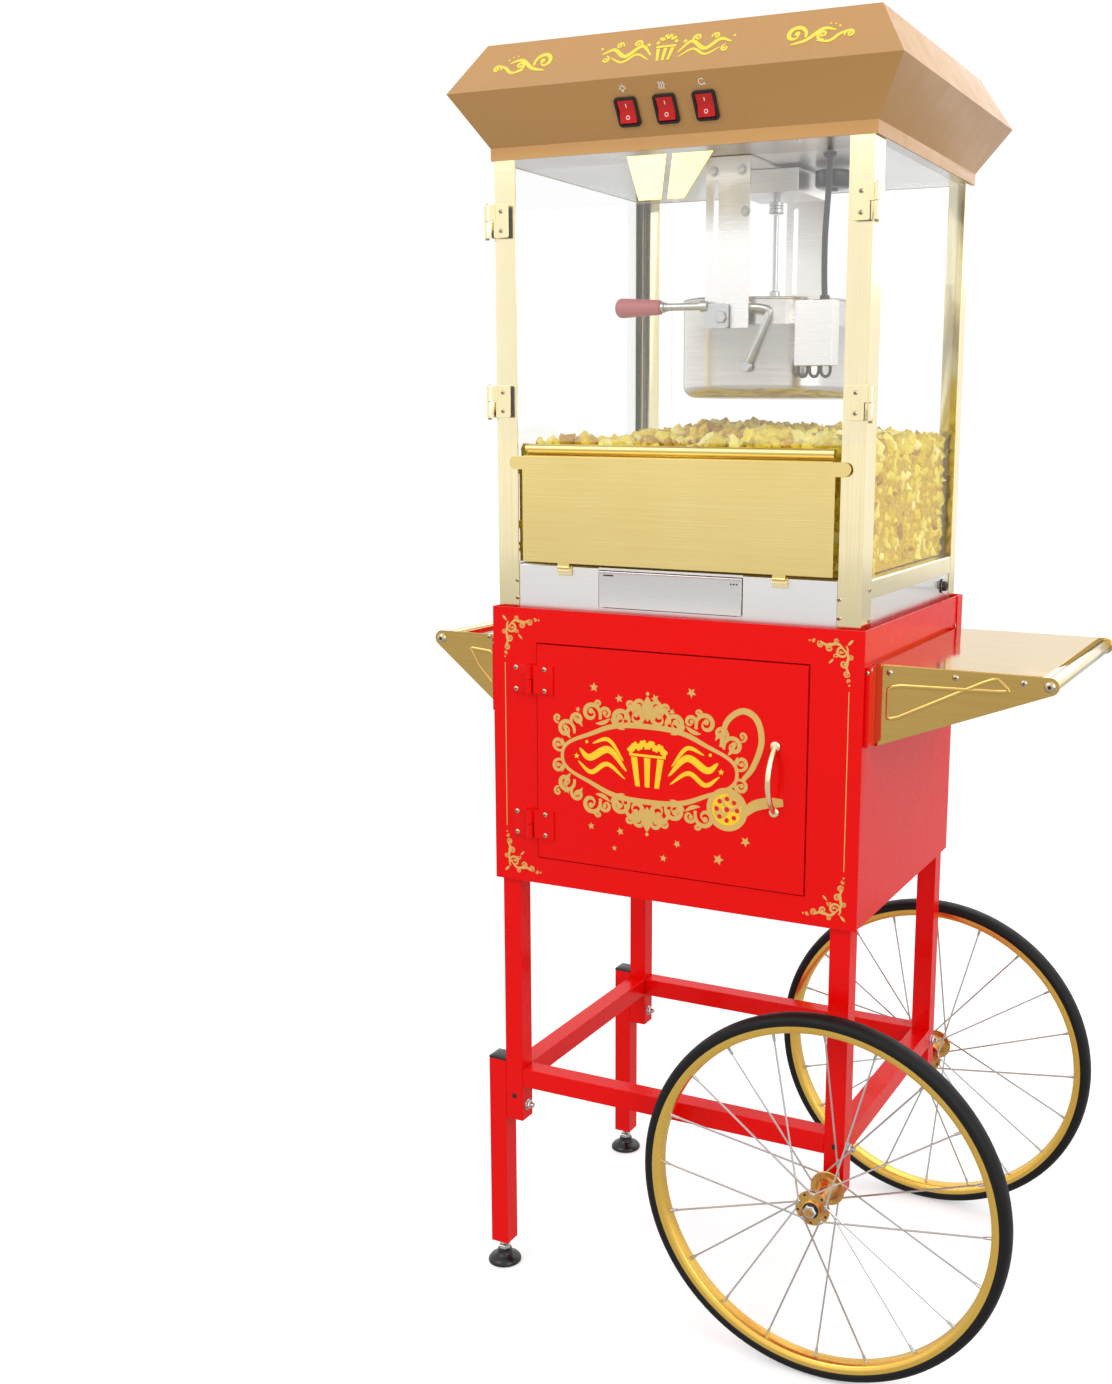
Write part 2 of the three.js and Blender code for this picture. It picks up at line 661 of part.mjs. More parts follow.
function handleGrip() {
  return turned([
    [0, 0], [8.5, 0], [9, 3], [11.5, 44], [11.5, 52], [8, 58], [0, 59],
  ], 20);
}

function stirrer() {
  const bottomZ = KETTLE.bottom + KETTLE.wall + 2;
  return join([
    bar([0, 0, bottomZ], [0, 0, STIRRER_TOP], 4, 10),
    bar([0, 0, 1260.5], [0, 0, 1266], 8, 12),
    bar([-80, 0, bottomZ + 3], [80, 0, bottomZ + 3], 3, 8),
    block(-78, -30, -1.5, 1.5, bottomZ, bottomZ + 14),
    block(30, 78, -1.5, 1.5, bottomZ, bottomZ + 14),
  ]);
}

function driveShaft() {
  const { radius, bottom, top, coupling, couplingTop } = DRIVE;
  return join([
    bar([0, 0, bottom], [0, 0, top], radius, 10),
    bar([0, 0, bottom], [0, 0, couplingTop], coupling, 12),
  ]);
}

// The drive's housing under the ceiling, bored for the shaft.
function gearMotor() {
  const low = DRIVE.top - 3;
  const high = POST_TOP - 2 * GAP - HANGER.thick;
  const box = block(-40, 45, -45, 50, low, high);
  return cut(box, [bar([0, 0, low - 4], [0, 0, low + 6], DRIVE.radius + 0.4, 12)]);
}

// The kettle's lead hangs from the ceiling to the box on the kettle's side.
function kettleLead() {
  const route = [
    [384, 113, 1413.7], [384, 113, 1395], [383, 113, 1370], [381.5, 113, 1345],
    [380.5, 113, 1320], [380.5, 113, 1295], [381, 113, 1275], [382, 113, 1253.5],
  ];
  const path = new THREE.CatmullRomCurve3(route.map((p) => new THREE.Vector3(...p)));
  const section = new THREE.Shape();
  section.absarc(0, 0, 3.5, 0, Math.PI * 2);
  return solid(new THREE.ExtrudeGeometry(section, {
    extrudePath: path, steps: 12, curveSegments: 5, bevelEnabled: false,
  }));
}

// ---------- popcorn ----------
// A heap that fills the glass case up to a gently rolling top.
function popcornHeap() {
  const w = 452;
  const d = 372;
  const low = BASE_TOP + 0.5;
  const g = new THREE.BoxGeometry(w, d, 1, 8, 6, 1);
  const p = g.attributes.position;
  for (let i = 0; i < p.count; i += 1) {
    const u = p.getX(i) / w;
    const v = p.getY(i) / d;
    const roll = 5 * Math.cos(u * 7) * Math.cos(v * 5) - 26 * u * u - 10 * v * v;
    p.setZ(i, p.getZ(i) > 0 ? 1092 + roll : low);
  }
  return solid(g);
}

// ---------- assembly ----------
const model = new THREE.Group();

function buildCabinet(group) {
  const cabinet = new THREE.Group();
  add(cabinet, 'cabinet_front_frame', cabinetFrontFrame(), red);
  add(cabinet, 'cabinet_side_left', cabinetSide(-1), red);
  add(cabinet, 'cabinet_side_right', cabinetSide(1), red);
  add(cabinet, 'cabinet_back_and_floor', cabinetBack(), red);
  add(cabinet, 'cabinet_top_tray', cabinetTray(), red);
  add(cabinet, 'cabinet_door', cabinetDoor(), red);
  add(cabinet, 'door_pull', doorPull(), gold, [PULL.x, -SHEET - GAP, PULL.z]);
  group.add(cabinet);
}

function buildUndercarriage(group) {
  for (const [name, x, y] of legPlaces()) {
    add(group, name, leg(x), red, [x, y, LEG_BOTTOM]);
  }
  const extensionX = LEG_INSET - LEG - GAP;
  const rearY = CABINET.depth - LEG_FRONT - LEG;
  for (const [end, y] of [['front', LEG_FRONT], ['rear', rearY]]) {
    add(group, `leg_extension_${end}`, legExtension(), red, [extensionX, y, EXTENSION.bottom]);
    add(group, `levelling_foot_${end}`, levellingFoot(), rubber,
      [extensionX + LEG / 2, y + LEG / 2, 0]);
    add(group, `cross_rail_${end}`, crossRailX(), red,
      [LEG_INSET + LEG + GAP, y, RAIL_BOTTOM]);
  }
  const railY = LEG_FRONT + LEG + GAP;
  add(group, 'cross_rail_left', crossRailY(), red, [LEG_INSET, railY, RAIL_BOTTOM]);
  add(group, 'cross_rail_right', crossRailY(), red,
    [CABINET.width - LEG_INSET - LEG, railY, RAIL_BOTTOM]);
}

function buildWheels(group) {
  const legBack = CABINET.depth - LEG_FRONT;
  const ends = [
    ['front', WHEEL.front, stubAxle(LEG_FRONT - WHEEL.front, 1)],
    ['rear', WHEEL.rear, stubAxle(WHEEL.rear - legBack, -1)],
  ];
  for (const [end, y, shaft] of ends) {
    const place = [WHEEL.x, y, WHEEL.radius];
    add(group, `tyre_${end}`, tyre(), rubber, place);
    add(group, `spoked_wheel_${end}`, spokedWheel(), gold, place);
    add(group, `axle_${end}`, shaft, zinc, place);
  }
}

function buildShelfAndHandle(group) {
  const rear = SHELF.rear - SHEET;
  const left = CABINET.width - SHELF.root;
  for (const [end, y] of [['front', SHELF.front], ['rear', rear]]) {
    add(group, `shelf_bracket_${end}`, bracket(SHELF.tip - SHELF.root, y), gold,
      [SHELF.root, 0, 0]);
    add(group, `handle_bracket_${end}`, bracket(SHELF.left - left, y), gold, [left, 0, 0]);
  }
  const barY = SHELF.front + SHEET + GAP;
  add(group, 'shelf_bar', endBar(), gold, [SHELF.tip, barY, BRACKET.tipZ]);
  add(group, 'handle_bar', endBar(), gold, [SHELF.left, barY, BRACKET.tipZ]);
  add(group, 'shelf_plate', block(486, SHELF.tip - BAR_RADIUS - GAP, barY,
    SHELF.rear - SHEET - GAP, SHELF.top - SHEET, SHELF.top), gold);
}

function buildCase(group) {
  add(group, 'machine_base', machineBase(), steel);
  add(group, 'kernel_drawer', kernelDrawer(), steel);
  add(group, 'post_front_left', post(-1, true), gold);
  add(group, 'post_front_right', post(1, true), gold);
  add(group, 'post_rear_left', post(-1, false), gold);
  add(group, 'post_rear_right', post(1, false), gold);
  add(group, 'glass_left', glassSide(MACHINE.left + SHEET + 0.8), clear);
  add(group, 'glass_right', glassSide(MACHINE.right - SHEET - 0.8 - GLASS), clear);
  add(group, 'glass_rear', glassRear(), clear);
  add(group, 'front_door_left', frontDoor(-1), clear);
  add(group, 'front_door_right', frontDoor(1), clear);
  add(group, 'gate', gate(), gold);
  add(group, 'canopy', canopy(), copper);
  SWITCHES.forEach((x, i) => add(group, `rocker_${i + 1}`, rockerButton(x), rocker));
  add(group, 'ceiling_plate', ceilingPlate(), steel);
  add(group, 'popcorn', popcornHeap(), corn, [236, 212, 0]);
}

function buildKettle(group) {
  const { x, y, bottom, top } = KETTLE;
  add(group, 'kettle_hanger', kettleHanger(), steel);
  add(group, 'kettle_pot', kettlePot(), steel, [x, y, bottom]);
  add(group, 'kettle_lid', kettleLid(), steel, [x, y, top + GAP]);
  add(group, 'kettle_handle', kettleHandle(), steel, [PIVOT.x, 79.5, PIVOT.z]);
  const gripMesh = new THREE.Group();
  gripMesh.position.set(PIVOT.x - 78 - GAP, 79.5, PIVOT.z + 13);
  gripMesh.rotation.y = -Math.PI / 2;
  add(gripMesh, 'handle_grip', handleGrip(), grip);
  group.add(gripMesh);
  add(group, 'stirrer', stirrer(), steel, [x, y, 0]);
  add(group, 'drive_shaft', driveShaft(), steel, [x, y, 0]);
  add(group, 'gear_motor', gearMotor(), steel, [x, y, 0]);
  add(group, 'kettle_junction_box', block(-23, 23, -12, 12, -37, 37), steel, [373, 113.5, 1216]);
  add(group, 'kettle_lead', kettleLead(), rubber);
}

const cart = new THREE.Group();
buildCabinet(cart);
buildUndercarriage(cart);
buildWheels(cart);
buildShelfAndHandle(cart);
const machine = new THREE.Group();
buildCase(machine);
buildKettle(machine);
model.add(cart, machine);

// The origin is the middle of the footprint of everything above.
model.updateMatrixWorld(true);
const bounds = new THREE.Box3().setFromObject(model, true);
const centre = bounds.getCenter(new THREE.Vector3());
model.position.set(-centre.x, -centre.y, -bounds.min.z);

export default model;
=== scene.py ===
# %% [markdown]
# # A popcorn maker on its cart
# The maker is a glass case with a tilting kettle, under a flared hood. It stands on a red
# sheet-metal cabinet with two spoked wheels, a shelf and a push handle. This notebook loads
# the measured frame of the object and gives every piece its final surface and finish.

# %% Load the frame
import math

import bmesh
import bpy
import numpy as np
from mathutils import Matrix, Vector


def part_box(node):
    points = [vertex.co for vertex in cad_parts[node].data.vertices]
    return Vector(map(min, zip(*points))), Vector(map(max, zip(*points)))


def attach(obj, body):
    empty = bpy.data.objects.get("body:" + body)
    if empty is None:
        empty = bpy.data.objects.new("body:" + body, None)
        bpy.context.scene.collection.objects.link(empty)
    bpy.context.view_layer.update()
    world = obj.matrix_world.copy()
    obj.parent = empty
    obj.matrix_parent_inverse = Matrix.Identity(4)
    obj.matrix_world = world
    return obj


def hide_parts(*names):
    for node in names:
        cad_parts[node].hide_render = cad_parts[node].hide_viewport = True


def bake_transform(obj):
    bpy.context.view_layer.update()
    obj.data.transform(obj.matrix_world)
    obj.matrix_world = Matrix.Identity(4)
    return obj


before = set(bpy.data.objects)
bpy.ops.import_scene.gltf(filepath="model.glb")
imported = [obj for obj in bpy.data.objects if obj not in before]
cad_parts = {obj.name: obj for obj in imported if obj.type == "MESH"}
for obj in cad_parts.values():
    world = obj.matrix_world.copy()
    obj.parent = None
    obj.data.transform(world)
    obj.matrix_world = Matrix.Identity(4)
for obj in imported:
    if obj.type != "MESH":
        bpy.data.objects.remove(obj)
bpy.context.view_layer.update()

# %% [markdown]
# Sheet metal is drawn in millimetres, so the pieces here are too. Their numbers start at the
# cabinet's front left corner on the ground. That corner is found from two nodes of the frame,
# and one function turns such millimetres into the frame's metres.

# %% Millimetres to metres
CORNER = np.array([
    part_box("cabinet_front_frame")[0].x,
    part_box("cabinet_back_and_floor")[1].y - 0.392,
    0.0,
])


def metres(points):
    """Millimetres from the cabinet's corner become metres in the frame: p / 1000 + corner."""
    return np.asarray(points, float) * 0.001 + CORNER


print("cabinet corner at", CORNER.round(4).tolist())

# %% [markdown]
# The camera comes first, since everything is judged through it. It stands a little to the
# right, at chest height, and looks slightly down. Three angles turn into its three axes.

# %% The camera
def aim(yaw, pitch, roll):
    """Rotation whose columns are the camera's right, up and backward axes."""
    y, p, r = (math.radians(a) for a in (yaw, pitch, roll))
    ahead = Vector((-math.sin(y) * math.cos(p), math.cos(y) * math.cos(p), math.sin(p)))
    right = Vector((math.cos(y), math.sin(y), 0))
    up = right.cross(ahead)
    side = math.cos(r) * right + math.sin(r) * up
    top = math.cos(r) * up - math.sin(r) * right
    return Matrix((side, top, -ahead)).transposed()


def in_scene(name, data):
    """A new object that is linked into the scene."""
    ob = bpy.data.objects.new(name, data)
    bpy.context.scene.collection.objects.link(ob)
    return ob


STAND = (0.7059, -1.8011, 1.1215)
YAW, PITCH, ROLL = 25.346, -10.471, 0.430
camera = in_scene("camera", bpy.data.cameras.new("camera"))
camera.data.lens = 39.75
camera.data.sensor_width = 36
camera.data.shift_x = -0.0807
camera.data.shift_y = 0.0041
camera.matrix_world = Matrix.Translation(STAND) @ aim(YAW, PITCH, ROLL).to_4x4()
bpy.context.scene.camera = camera
bpy.context.scene.view_settings.view_transform = "Standard"
print("camera at", [round(v, 3) for v in camera.location])

# %% [markdown]
# Every surface below is a grid of points with quads between its rows and columns. The
# helpers make the grids: a profile turned round an axis, a section carried along a path,
# a flat outline given a thickness, two grids closed into a block, and a smooth curve
# through a few points.

# %% Surface helpers
def quads(rows, cols, wrap_rows=False, wrap_cols=False):
    """Quads of a grid whose point (i, j) has the number i * cols + j."""
    i, j = np.meshgrid(np.arange(rows if wrap_rows else rows - 1),
                       np.arange(cols if wrap_cols else cols - 1), indexing="ij")
    i2, j2 = (i + 1) % rows, (j + 1) % cols
    return np.stack([i * cols + j, i * cols + j2, i2 * cols + j2, i2 * cols + j],
                    -1).reshape(-1, 4).tolist()


def turned(profile, centre, axis="z", sides=48):
    """Profile point (r, h) at angle t lies at (r cos t, r sin t) across the axis, h along it."""
    r, h = np.asarray(profile, float).T[:, :, None]
    t = np.linspace(0, 2 * np.pi, sides, endpoint=False)
    a, b, c = r * np.cos(t), r * np.sin(t), h + 0 * t
    order = {"z": (a, b, c), "y": (a, c, b), "x": (c, a, b)}[axis]
    return np.stack(order, -1).reshape(-1, 3) + centre, quads(len(r), sides, wrap_cols=True)


def disc(radius, low, high, centre, axis="z", sides=24):
    """Closed cylinder of one radius from low to high along its axis."""
    return turned([(0, low), (radius, low), (radius, high), (0, high)], centre, axis, sides)


def swept(path, section, up=(0, 0, 1), grow=None, closed=False):
    """Section point (a, b) at path point P lies at P + a side + b top, with
    side = tangent x up and top = side x tangent, both of length one."""
    p = np.asarray(path, float)
    s = np.asarray(section, float)
    d = (np.roll(p, -1, 0) - np.roll(p, 1, 0)) if closed else np.gradient(p, axis=0)
    d /= np.linalg.norm(d, axis=1, keepdims=True)
    side = np.cross(d, up)
    side /= np.linalg.norm(side, axis=1, keepdims=True)
    top = np.cross(side, d)
    g = np.ones(len(p)) if grow is None else np.asarray(grow, float)
    v = (p[:, None] + side[:, None] * (s[None, :, :1] * g[:, None, None])
         + top[:, None] * (s[None, :, 1:] * g[:, None, None]))
    n, m = len(p), len(s)
    faces = quads(n, m, wrap_rows=closed, wrap_cols=True)
    if not closed:
        faces += [list(range(m)), list(range((n - 1) * m, n * m))]
    return v.reshape(-1, 3), faces


def circle(radius, sides=16):
    """Points (r cos t, r sin t) of a round section."""
    t = np.linspace(0, 2 * np.pi, sides, endpoint=False)
    return np.stack([radius * np.cos(t), radius * np.sin(t)], -1)


def tube(path, radius, sides=16, up=(0, 0, 1), grow=None):
    """A round section of the given radius carried along a path."""
    return swept(path, circle(radius, sides), up, grow)


def slab(outline, low, high, across="y"):
    """A closed outline in the two other axes, carried from low to high along one axis."""
    o = np.asarray(outline, float)
    n = len(o)
    k = "xyz".index(across)
    v = np.concatenate([np.insert(o, k, low, 1), np.insert(o, k, high, 1)])
    return v, quads(2, n, wrap_cols=True) + [list(range(n)), list(range(n, 2 * n))]


def block(x0, x1, y0, y1, z0, z1):
    """A folded or cut block between two corners, whose edges are softened later."""
    return slab([(x0, z0), (x1, z0), (x1, z1), (x0, z1)], y0, y1)


def shell(top, low):
    """Closed block between two grids of points, whose rims are joined in order."""
    rows, cols = top.shape[:2]
    n = rows * cols
    edge = np.concatenate([np.arange(cols), np.arange(1, rows) * cols + cols - 1,
                           (rows - 1) * cols + np.arange(cols - 2, -1, -1),
                           np.arange(rows - 2, 0, -1) * cols])
    nxt = np.roll(edge, -1)
    faces = quads(rows, cols)
    rim = np.stack([edge, nxt, nxt + n, edge + n], -1).tolist()
    points = np.concatenate([top.reshape(-1, 3), low.reshape(-1, 3)])
    return points, faces + [[k + n for k in f[::-1]] for f in faces] + rim


def through(points, count=24):
    """Catmull-Rom curve: each stretch blends its four nearest points with cubic weights."""
    p = np.asarray(points, float)
    p = np.concatenate([2 * p[:1] - p[1:2], p, 2 * p[-1:] - p[-2:-1]])
    s = np.linspace(0, len(p) - 3, count)
    i = np.minimum(s.astype(int), len(p) - 4)
    t = (s - i)[:, None]
    a, b, c, d = p[i], p[i + 1], p[i + 2], p[i + 3]
    return 0.5 * (2 * b + (c - a) * t + (2 * a - 5 * b + 4 * c - d) * t**2
                  + (3 * b - a - 3 * c + d) * t**3)


def shifted(part, step):
    """The same part moved by a step in millimetres."""
    return part[0] + step, part[1]


def moved(part, matrix):
    """The same part with every point p moved to matrix @ p."""
    v, faces = part
    m = np.array(matrix)
    return v @ m[:3, :3].T + m[:3, 3], faces


print("a turned ring has", len(turned([(9, 0), (10, 1), (9, 2)], (0, 0, 0))[1]), "quads")

# %% [markdown]
# One function makes an object of such parts. It merges doubled points, turns the faces
# outwards, rounds the edges with a Bevel modifier where a width is given, and ties the
# object to its body and its finish. Another makes a softened copy of a frame node, because
# folded sheet never has a perfectly sharp edge.

# %% Piece makers
MATERIALS = {}


def finish_piece(ob, material, body, replaces, bevel, segments, angle):
    """Shades the object smooth up to an angle and hands it to its body."""
    mesh = ob.data
    mesh.shade_smooth()
    mesh.set_sharp_from_angle(angle=math.radians(angle))
    mesh.materials.clear()
    mesh.materials.append(MATERIALS[material])
    if bevel:
        m = ob.modifiers.new("soft_edges", "BEVEL")
        m.width = bevel * 0.001
        m.segments = segments
        m.limit_method = "ANGLE"
        m.angle_limit = math.radians(angle)
        m.harden_normals = True
    if body:
        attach(ob, body)
    if replaces:
        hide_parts(*replaces)
    return ob


def make(name, parts, material, body, replaces=(), bevel=0, segments=2, angle=35,
         colour=None):
    """One object of several parts in millimetres; each part is (points, faces)."""
    counts = np.cumsum([0] + [len(v) for v, _ in parts])
    mesh = bpy.data.meshes.new(name)
    faces = [[k + n for k in f] for (_, fs), n in zip(parts, counts.tolist()) for f in fs]
    mesh.from_pydata(metres(np.concatenate([v for v, _ in parts])), [], faces)
    if colour is not None:
        layer = mesh.attributes.new("tone", "FLOAT_COLOR", "POINT")
        layer.data.foreach_set("color", np.asarray(colour, np.float32).ravel())
    bm = bmesh.new()
    bm.from_mesh(mesh)
    bmesh.ops.remove_doubles(bm, verts=bm.verts, dist=2e-6)
    bmesh.ops.dissolve_degenerate(bm, edges=bm.edges, dist=1e-6)
    bmesh.ops.recalc_face_normals(bm, faces=bm.faces)
    bm.to_mesh(mesh)
    bm.free()
    ob = in_scene(name, mesh)
    return finish_piece(ob, material, body, replaces, bevel, segments, angle)


def soften(node, material, body, width=0.5, name=None):
    """A copy of a frame node with merged points, flat faces made whole and rounded edges."""
    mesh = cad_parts[node].data.copy()
    bm = bmesh.new()
    bm.from_mesh(mesh)
    bmesh.ops.remove_doubles(bm, verts=bm.verts, dist=1e-6)
    bmesh.ops.dissolve_limit(bm, angle_limit=math.radians(1), verts=bm.verts, edges=bm.edges)
    bm.to_mesh(mesh)
    bm.free()
    ob = in_scene(name or f"{node}_sheet", mesh)
    return finish_piece(ob, material, body, [node], width, 2, 30)


# %% [markdown]
# Shader maths is easier to read as Python. The small class below holds one output of a
# node, and each operator adds a Math node. Any other node comes from `Finish.node`.

# %% Shader helpers
def put(tree, socket, value):
    """Sets a socket's own value, or links an output into it."""
    if isinstance(value, Wire):
        tree.links.new(value.socket, socket)
    elif isinstance(value, (tuple, list)) and len(value) == 3 and socket.type == "RGBA":
        socket.default_value = (*value, 1)
    else:
        socket.default_value = value


class Wire:
    """One value of a shader, on which + - * / and ** work."""

    def __init__(self, tree, socket):
        self.tree, self.socket = tree, socket

    def math(self, operation, a, b):
        n = self.tree.nodes.new("ShaderNodeMath")
        n.operation = operation
        put(self.tree, n.inputs[0], a)
        put(self.tree, n.inputs[1], b)
        return Wire(self.tree, n.outputs[0])


def operator(operation, swapped=False):
    """A method that joins two values by one Math node, in either order."""
    def method(self, other):
        return self.math(operation, other, self) if swapped else self.math(
            operation, self, other)
    return method


Wire.__add__, Wire.__radd__ = operator("ADD"), operator("ADD", True)
Wire.__sub__, Wire.__rsub__ = operator("SUBTRACT"), operator("SUBTRACT", True)
Wire.__mul__, Wire.__rmul__ = operator("MULTIPLY"), operator("MULTIPLY", True)
Wire.__pow__ = operator("POWER")


def linear(r, g, b):
    """Display colour 0..255 to linear light: ((c + 0.055) / 1.055) ** 2.4."""
    return tuple(((c / 255 + 0.055) / 1.055) ** 2.4 if c > 10 else c / 255 / 12.92
                 for c in (r, g, b))


class Finish:
    """A material with one Principled shader, built node by node."""

    def __init__(self, name, **constants):
        self.material = bpy.data.materials.new(name)
        self.material.use_nodes = True
        self.tree = self.material.node_tree
        self.shader = self.tree.nodes["Principled BSDF"]
        MATERIALS[name] = self.material
        self.set(**constants)

    def set(self, **values):
        for key, value in values.items():
            put(self.tree, self.shader.inputs[key.replace("_", " ")], value)
        return self

    def node(self, kind, settings=None, inputs=None, out=0):
        """Adds any node: settings first, then the values or links of its sockets."""
        n = self.tree.nodes.new("ShaderNode" + kind)
        for key, value in (settings or {}).items():
            if key == "stops":
                ramp = n.color_ramp.elements
                while len(ramp) < len(value):
                    ramp.new(0.5)
                for stop, (place, shade) in zip(ramp, value):
                    stop.position = place
                    stop.color = (*shade, 1) if isinstance(shade, tuple) else (shade,) * 3 + (1,)
            else:
                setattr(n, key, value)
        for key, value in (inputs or {}).items():
            put(self.tree, n.inputs[key], value)
        return Wire(self.tree, n.outputs[out])

    def place(self, scale=(1, 1, 1)):
        """Object coordinates in metres, stretched by a scale for each axis."""
        where = self.node("TexCoord", out="Object")
        return self.node("Mapping", None, {"Vector": where, "Scale": scale})

    def noise(self, scale, detail=2.0, stretch=(1, 1, 1), rough=0.5):
        """Cloudy noise with that many cells to a metre."""
        return self.node("TexNoise", None, {"Vector": self.place(stretch), "Scale": scale,
                                            "Detail": detail, "Roughness": rough})

    def blend(self, share, a, b):
        """Mixes two colours, a where share is 0 and b where it is 1."""
        return self.node("Mix", {"data_type": "RGBA"}, {0: share, 6: a, 7: b}, out=2)

    def span(self, value, low, high, new_low=0.0, new_high=1.0):
        """Stretches low..high to new_low..new_high, and clamps it."""
        return self.node("MapRange", None, {"Value": value, "From Min": low, "From Max": high,
                                            "To Min": new_low, "To Max": new_high})

    def bump(self, height, distance, strength=1.0):
        """Raises the surface by height times distance, in metres."""
        wave = self.node("Bump", None, {"Height": height, "Distance": distance,
                                        "Strength": strength})
        return self.set(Normal=wave)


print("shader helpers ready")

# %% [markdown]
# ## Finishes
# The red sheet metal is powder coated: a thin gloss over a very fine orange-peel texture,
# with a slightly deeper tone in places. The hood is a warm metallic lacquer.

# %% Painted metal
red = Finish("red_paint", Coat_Roughness=0.05, Specular_IOR_Level=0.12)
cloud = red.noise(3.0, 3)
red.set(Base_Color=red.blend(cloud, linear(233, 6, 3), linear(221, 4, 2)),
        Roughness=red.span(red.noise(40, 4), 0.3, 0.7, 0.25, 0.29),
        Coat_Weight=red.span(cloud, 0.3, 0.7, 0.07, 0.13))
red.bump(red.noise(420, 1), 0.0002, 0.06)

hood = Finish("hood_paint", Metallic=0.3, Coat_Roughness=0.12, Specular_IOR_Level=0.45)
flake = hood.noise(1800, 2)
hood.set(Base_Color=hood.blend(hood.span(flake, 0.35, 0.65), linear(182, 134, 76),
                               linear(194, 148, 90)),
         Roughness=hood.span(hood.noise(30, 4), 0.3, 0.7, 0.34, 0.44),
         Coat_Weight=hood.span(flake, 0.2, 0.8, 0.08, 0.14))
hood.bump(hood.noise(500, 1), 0.0002, 0.1)
print("painted finishes:", list(MATERIALS))

# %% [markdown]
# The gold-coloured parts are thin steel with a brass-toned plating. The gate is brushed
# along its length, the corner posts and brackets are polished and only slightly wavy, and
# the shelf is almost a mirror. One function makes all of them from a colour, a grain
# direction and how rough the grain is.

# %% Gold and steel
def plated(name, light, dark, stretch, rough, wave, grain=0.25, metallic=1.0):
    """Metal whose tone, gloss and height follow noise that is drawn out along the grain."""
    f = Finish(name, Metallic=metallic)
    lines = f.noise(1.0, 3, stretch, 0.7)
    patch = f.noise(9, 3)
    tone = f.span(lines * 0.6 + patch * 0.4, 0.3, 0.7)
    f.set(Base_Color=f.blend(tone, linear(*light), linear(*dark)),
          Roughness=f.span(lines + patch * 0.5, 0.45, 1.05, *rough))
    height = lines * grain + f.noise(14, 1) * wave
    return f.bump(height, 0.001, 0.35)


plated("brushed_gold", (244, 222, 152), (232, 206, 130), (7, 7, 900), (0.24, 0.36), 0.5, 0.12)
plated("polished_gold", (252, 240, 200), (244, 226, 174), (700, 700, 5), (0.10, 0.2), 1.0, 0.02)
plated("mirror_gold", (226, 190, 112), (214, 176, 98), (5, 300, 300), (0.05, 0.12), 1.2, 0.01)
plated("rim_gold", (248, 208, 106), (236, 190, 86), (260, 260, 260), (0.24, 0.34), 0.3, 0.02)
plated("stainless", (246, 243, 240), (236, 233, 230), (6, 6, 800), (0.24, 0.36), 0.5, 0.08)
plated("kettle_steel", (226, 220, 214), (208, 202, 196), (6, 6, 700), (0.16, 0.28), 0.9, 0.05)
plated("bright_zinc", (212, 212, 210), (186, 186, 184), (900, 900, 900), (0.18, 0.3), 0.3, 0.02)
plated("nickel", (214, 202, 174), (180, 166, 136), (600, 600, 600), (0.14, 0.26), 0.3, 0.02)
print("plated finishes:", len(MATERIALS))

# %% [markdown]
# The hubs are passivated zinc, whose yellow film drifts towards copper and a little green.
# Rubber and moulded plastic are dull, with a fine texture. The rockers and the grip are
# coloured plastic, and the clear panels let nearly all light through.

# %% Hubs, rubber and plastics
hub = Finish("yellow_zinc", Metallic=1.0)
film = hub.noise(45, 4)
hub.set(Base_Color=hub.node("ValToRGB", {"stops": [
            (0.30, linear(214, 148, 78)), (0.48, linear(224, 178, 100)),
            (0.62, linear(204, 132, 80)), (0.75, linear(178, 166, 98))]}, {"Fac": film}),
        Roughness=hub.span(film, 0.3, 0.7, 0.2, 0.34))
hub.bump(hub.noise(900, 2), 0.0002, 0.2)


def moulded(name, light, dark, rough, grain, depth, **constants):
    """Plastic or rubber with a cloudy tone and a fine pebbled surface."""
    f = Finish(name, **constants)
    f.set(Base_Color=f.blend(f.noise(22, 3), linear(*light), linear(*dark)),
          Roughness=f.span(f.noise(60, 3), 0.3, 0.7, *rough))
    return f.bump(f.noise(grain, 2), depth, 0.3)


moulded("tyre_rubber", (22, 20, 20), (14, 12, 12), (0.45, 0.6), 900, 0.0004,
        Specular_IOR_Level=0.25)
# This black is real plastic on glands and grommets, and painted shade in screw recesses, bolt
# sockets and holes.
moulded("black_plastic", (26, 25, 26), (17, 16, 17), (0.34, 0.46), 1400, 0.0003)
moulded("black_gloss", (20, 19, 20), (13, 12, 13), (0.16, 0.26), 1400, 0.0002)
moulded("lens_red", (206, 18, 12), (180, 8, 6), (0.12, 0.2), 900, 0.0002,
        Transmission_Weight=0.25, Emission_Color=linear(160, 8, 4) + (1,),
        Emission_Strength=0.25)
moulded("grip_red", (200, 104, 102), (178, 78, 78), (0.36, 0.5), 500, 0.0003)
moulded("lead_sleeve", (62, 60, 62), (40, 38, 40), (0.38, 0.52), 1500, 0.0004)
moulded("print_gold", (216, 178, 96), (206, 166, 84), (0.34, 0.44), 800, 0.0002)
moulded("print_yellow", (252, 206, 24), (242, 192, 18), (0.36, 0.44), 800, 0.0002)
moulded("print_pale", (236, 218, 76), (226, 206, 64), (0.36, 0.44), 800, 0.0002)
moulded("print_red", (222, 14, 10), (208, 10, 8), (0.3, 0.4), 800, 0.0002)
moulded("print_white", (244, 242, 236), (232, 230, 224), (0.36, 0.44), 800, 0.0002)
print("plastics done:", len(MATERIALS))

# %% [markdown]
# Clear panels are thin, so full refraction would only darken them. Mixing a transparent
# shader with a glossy one by a Fresnel share keeps the view through and a soft reflection.
# The front doors are plastic and a little hazy, so they always keep some gloss.

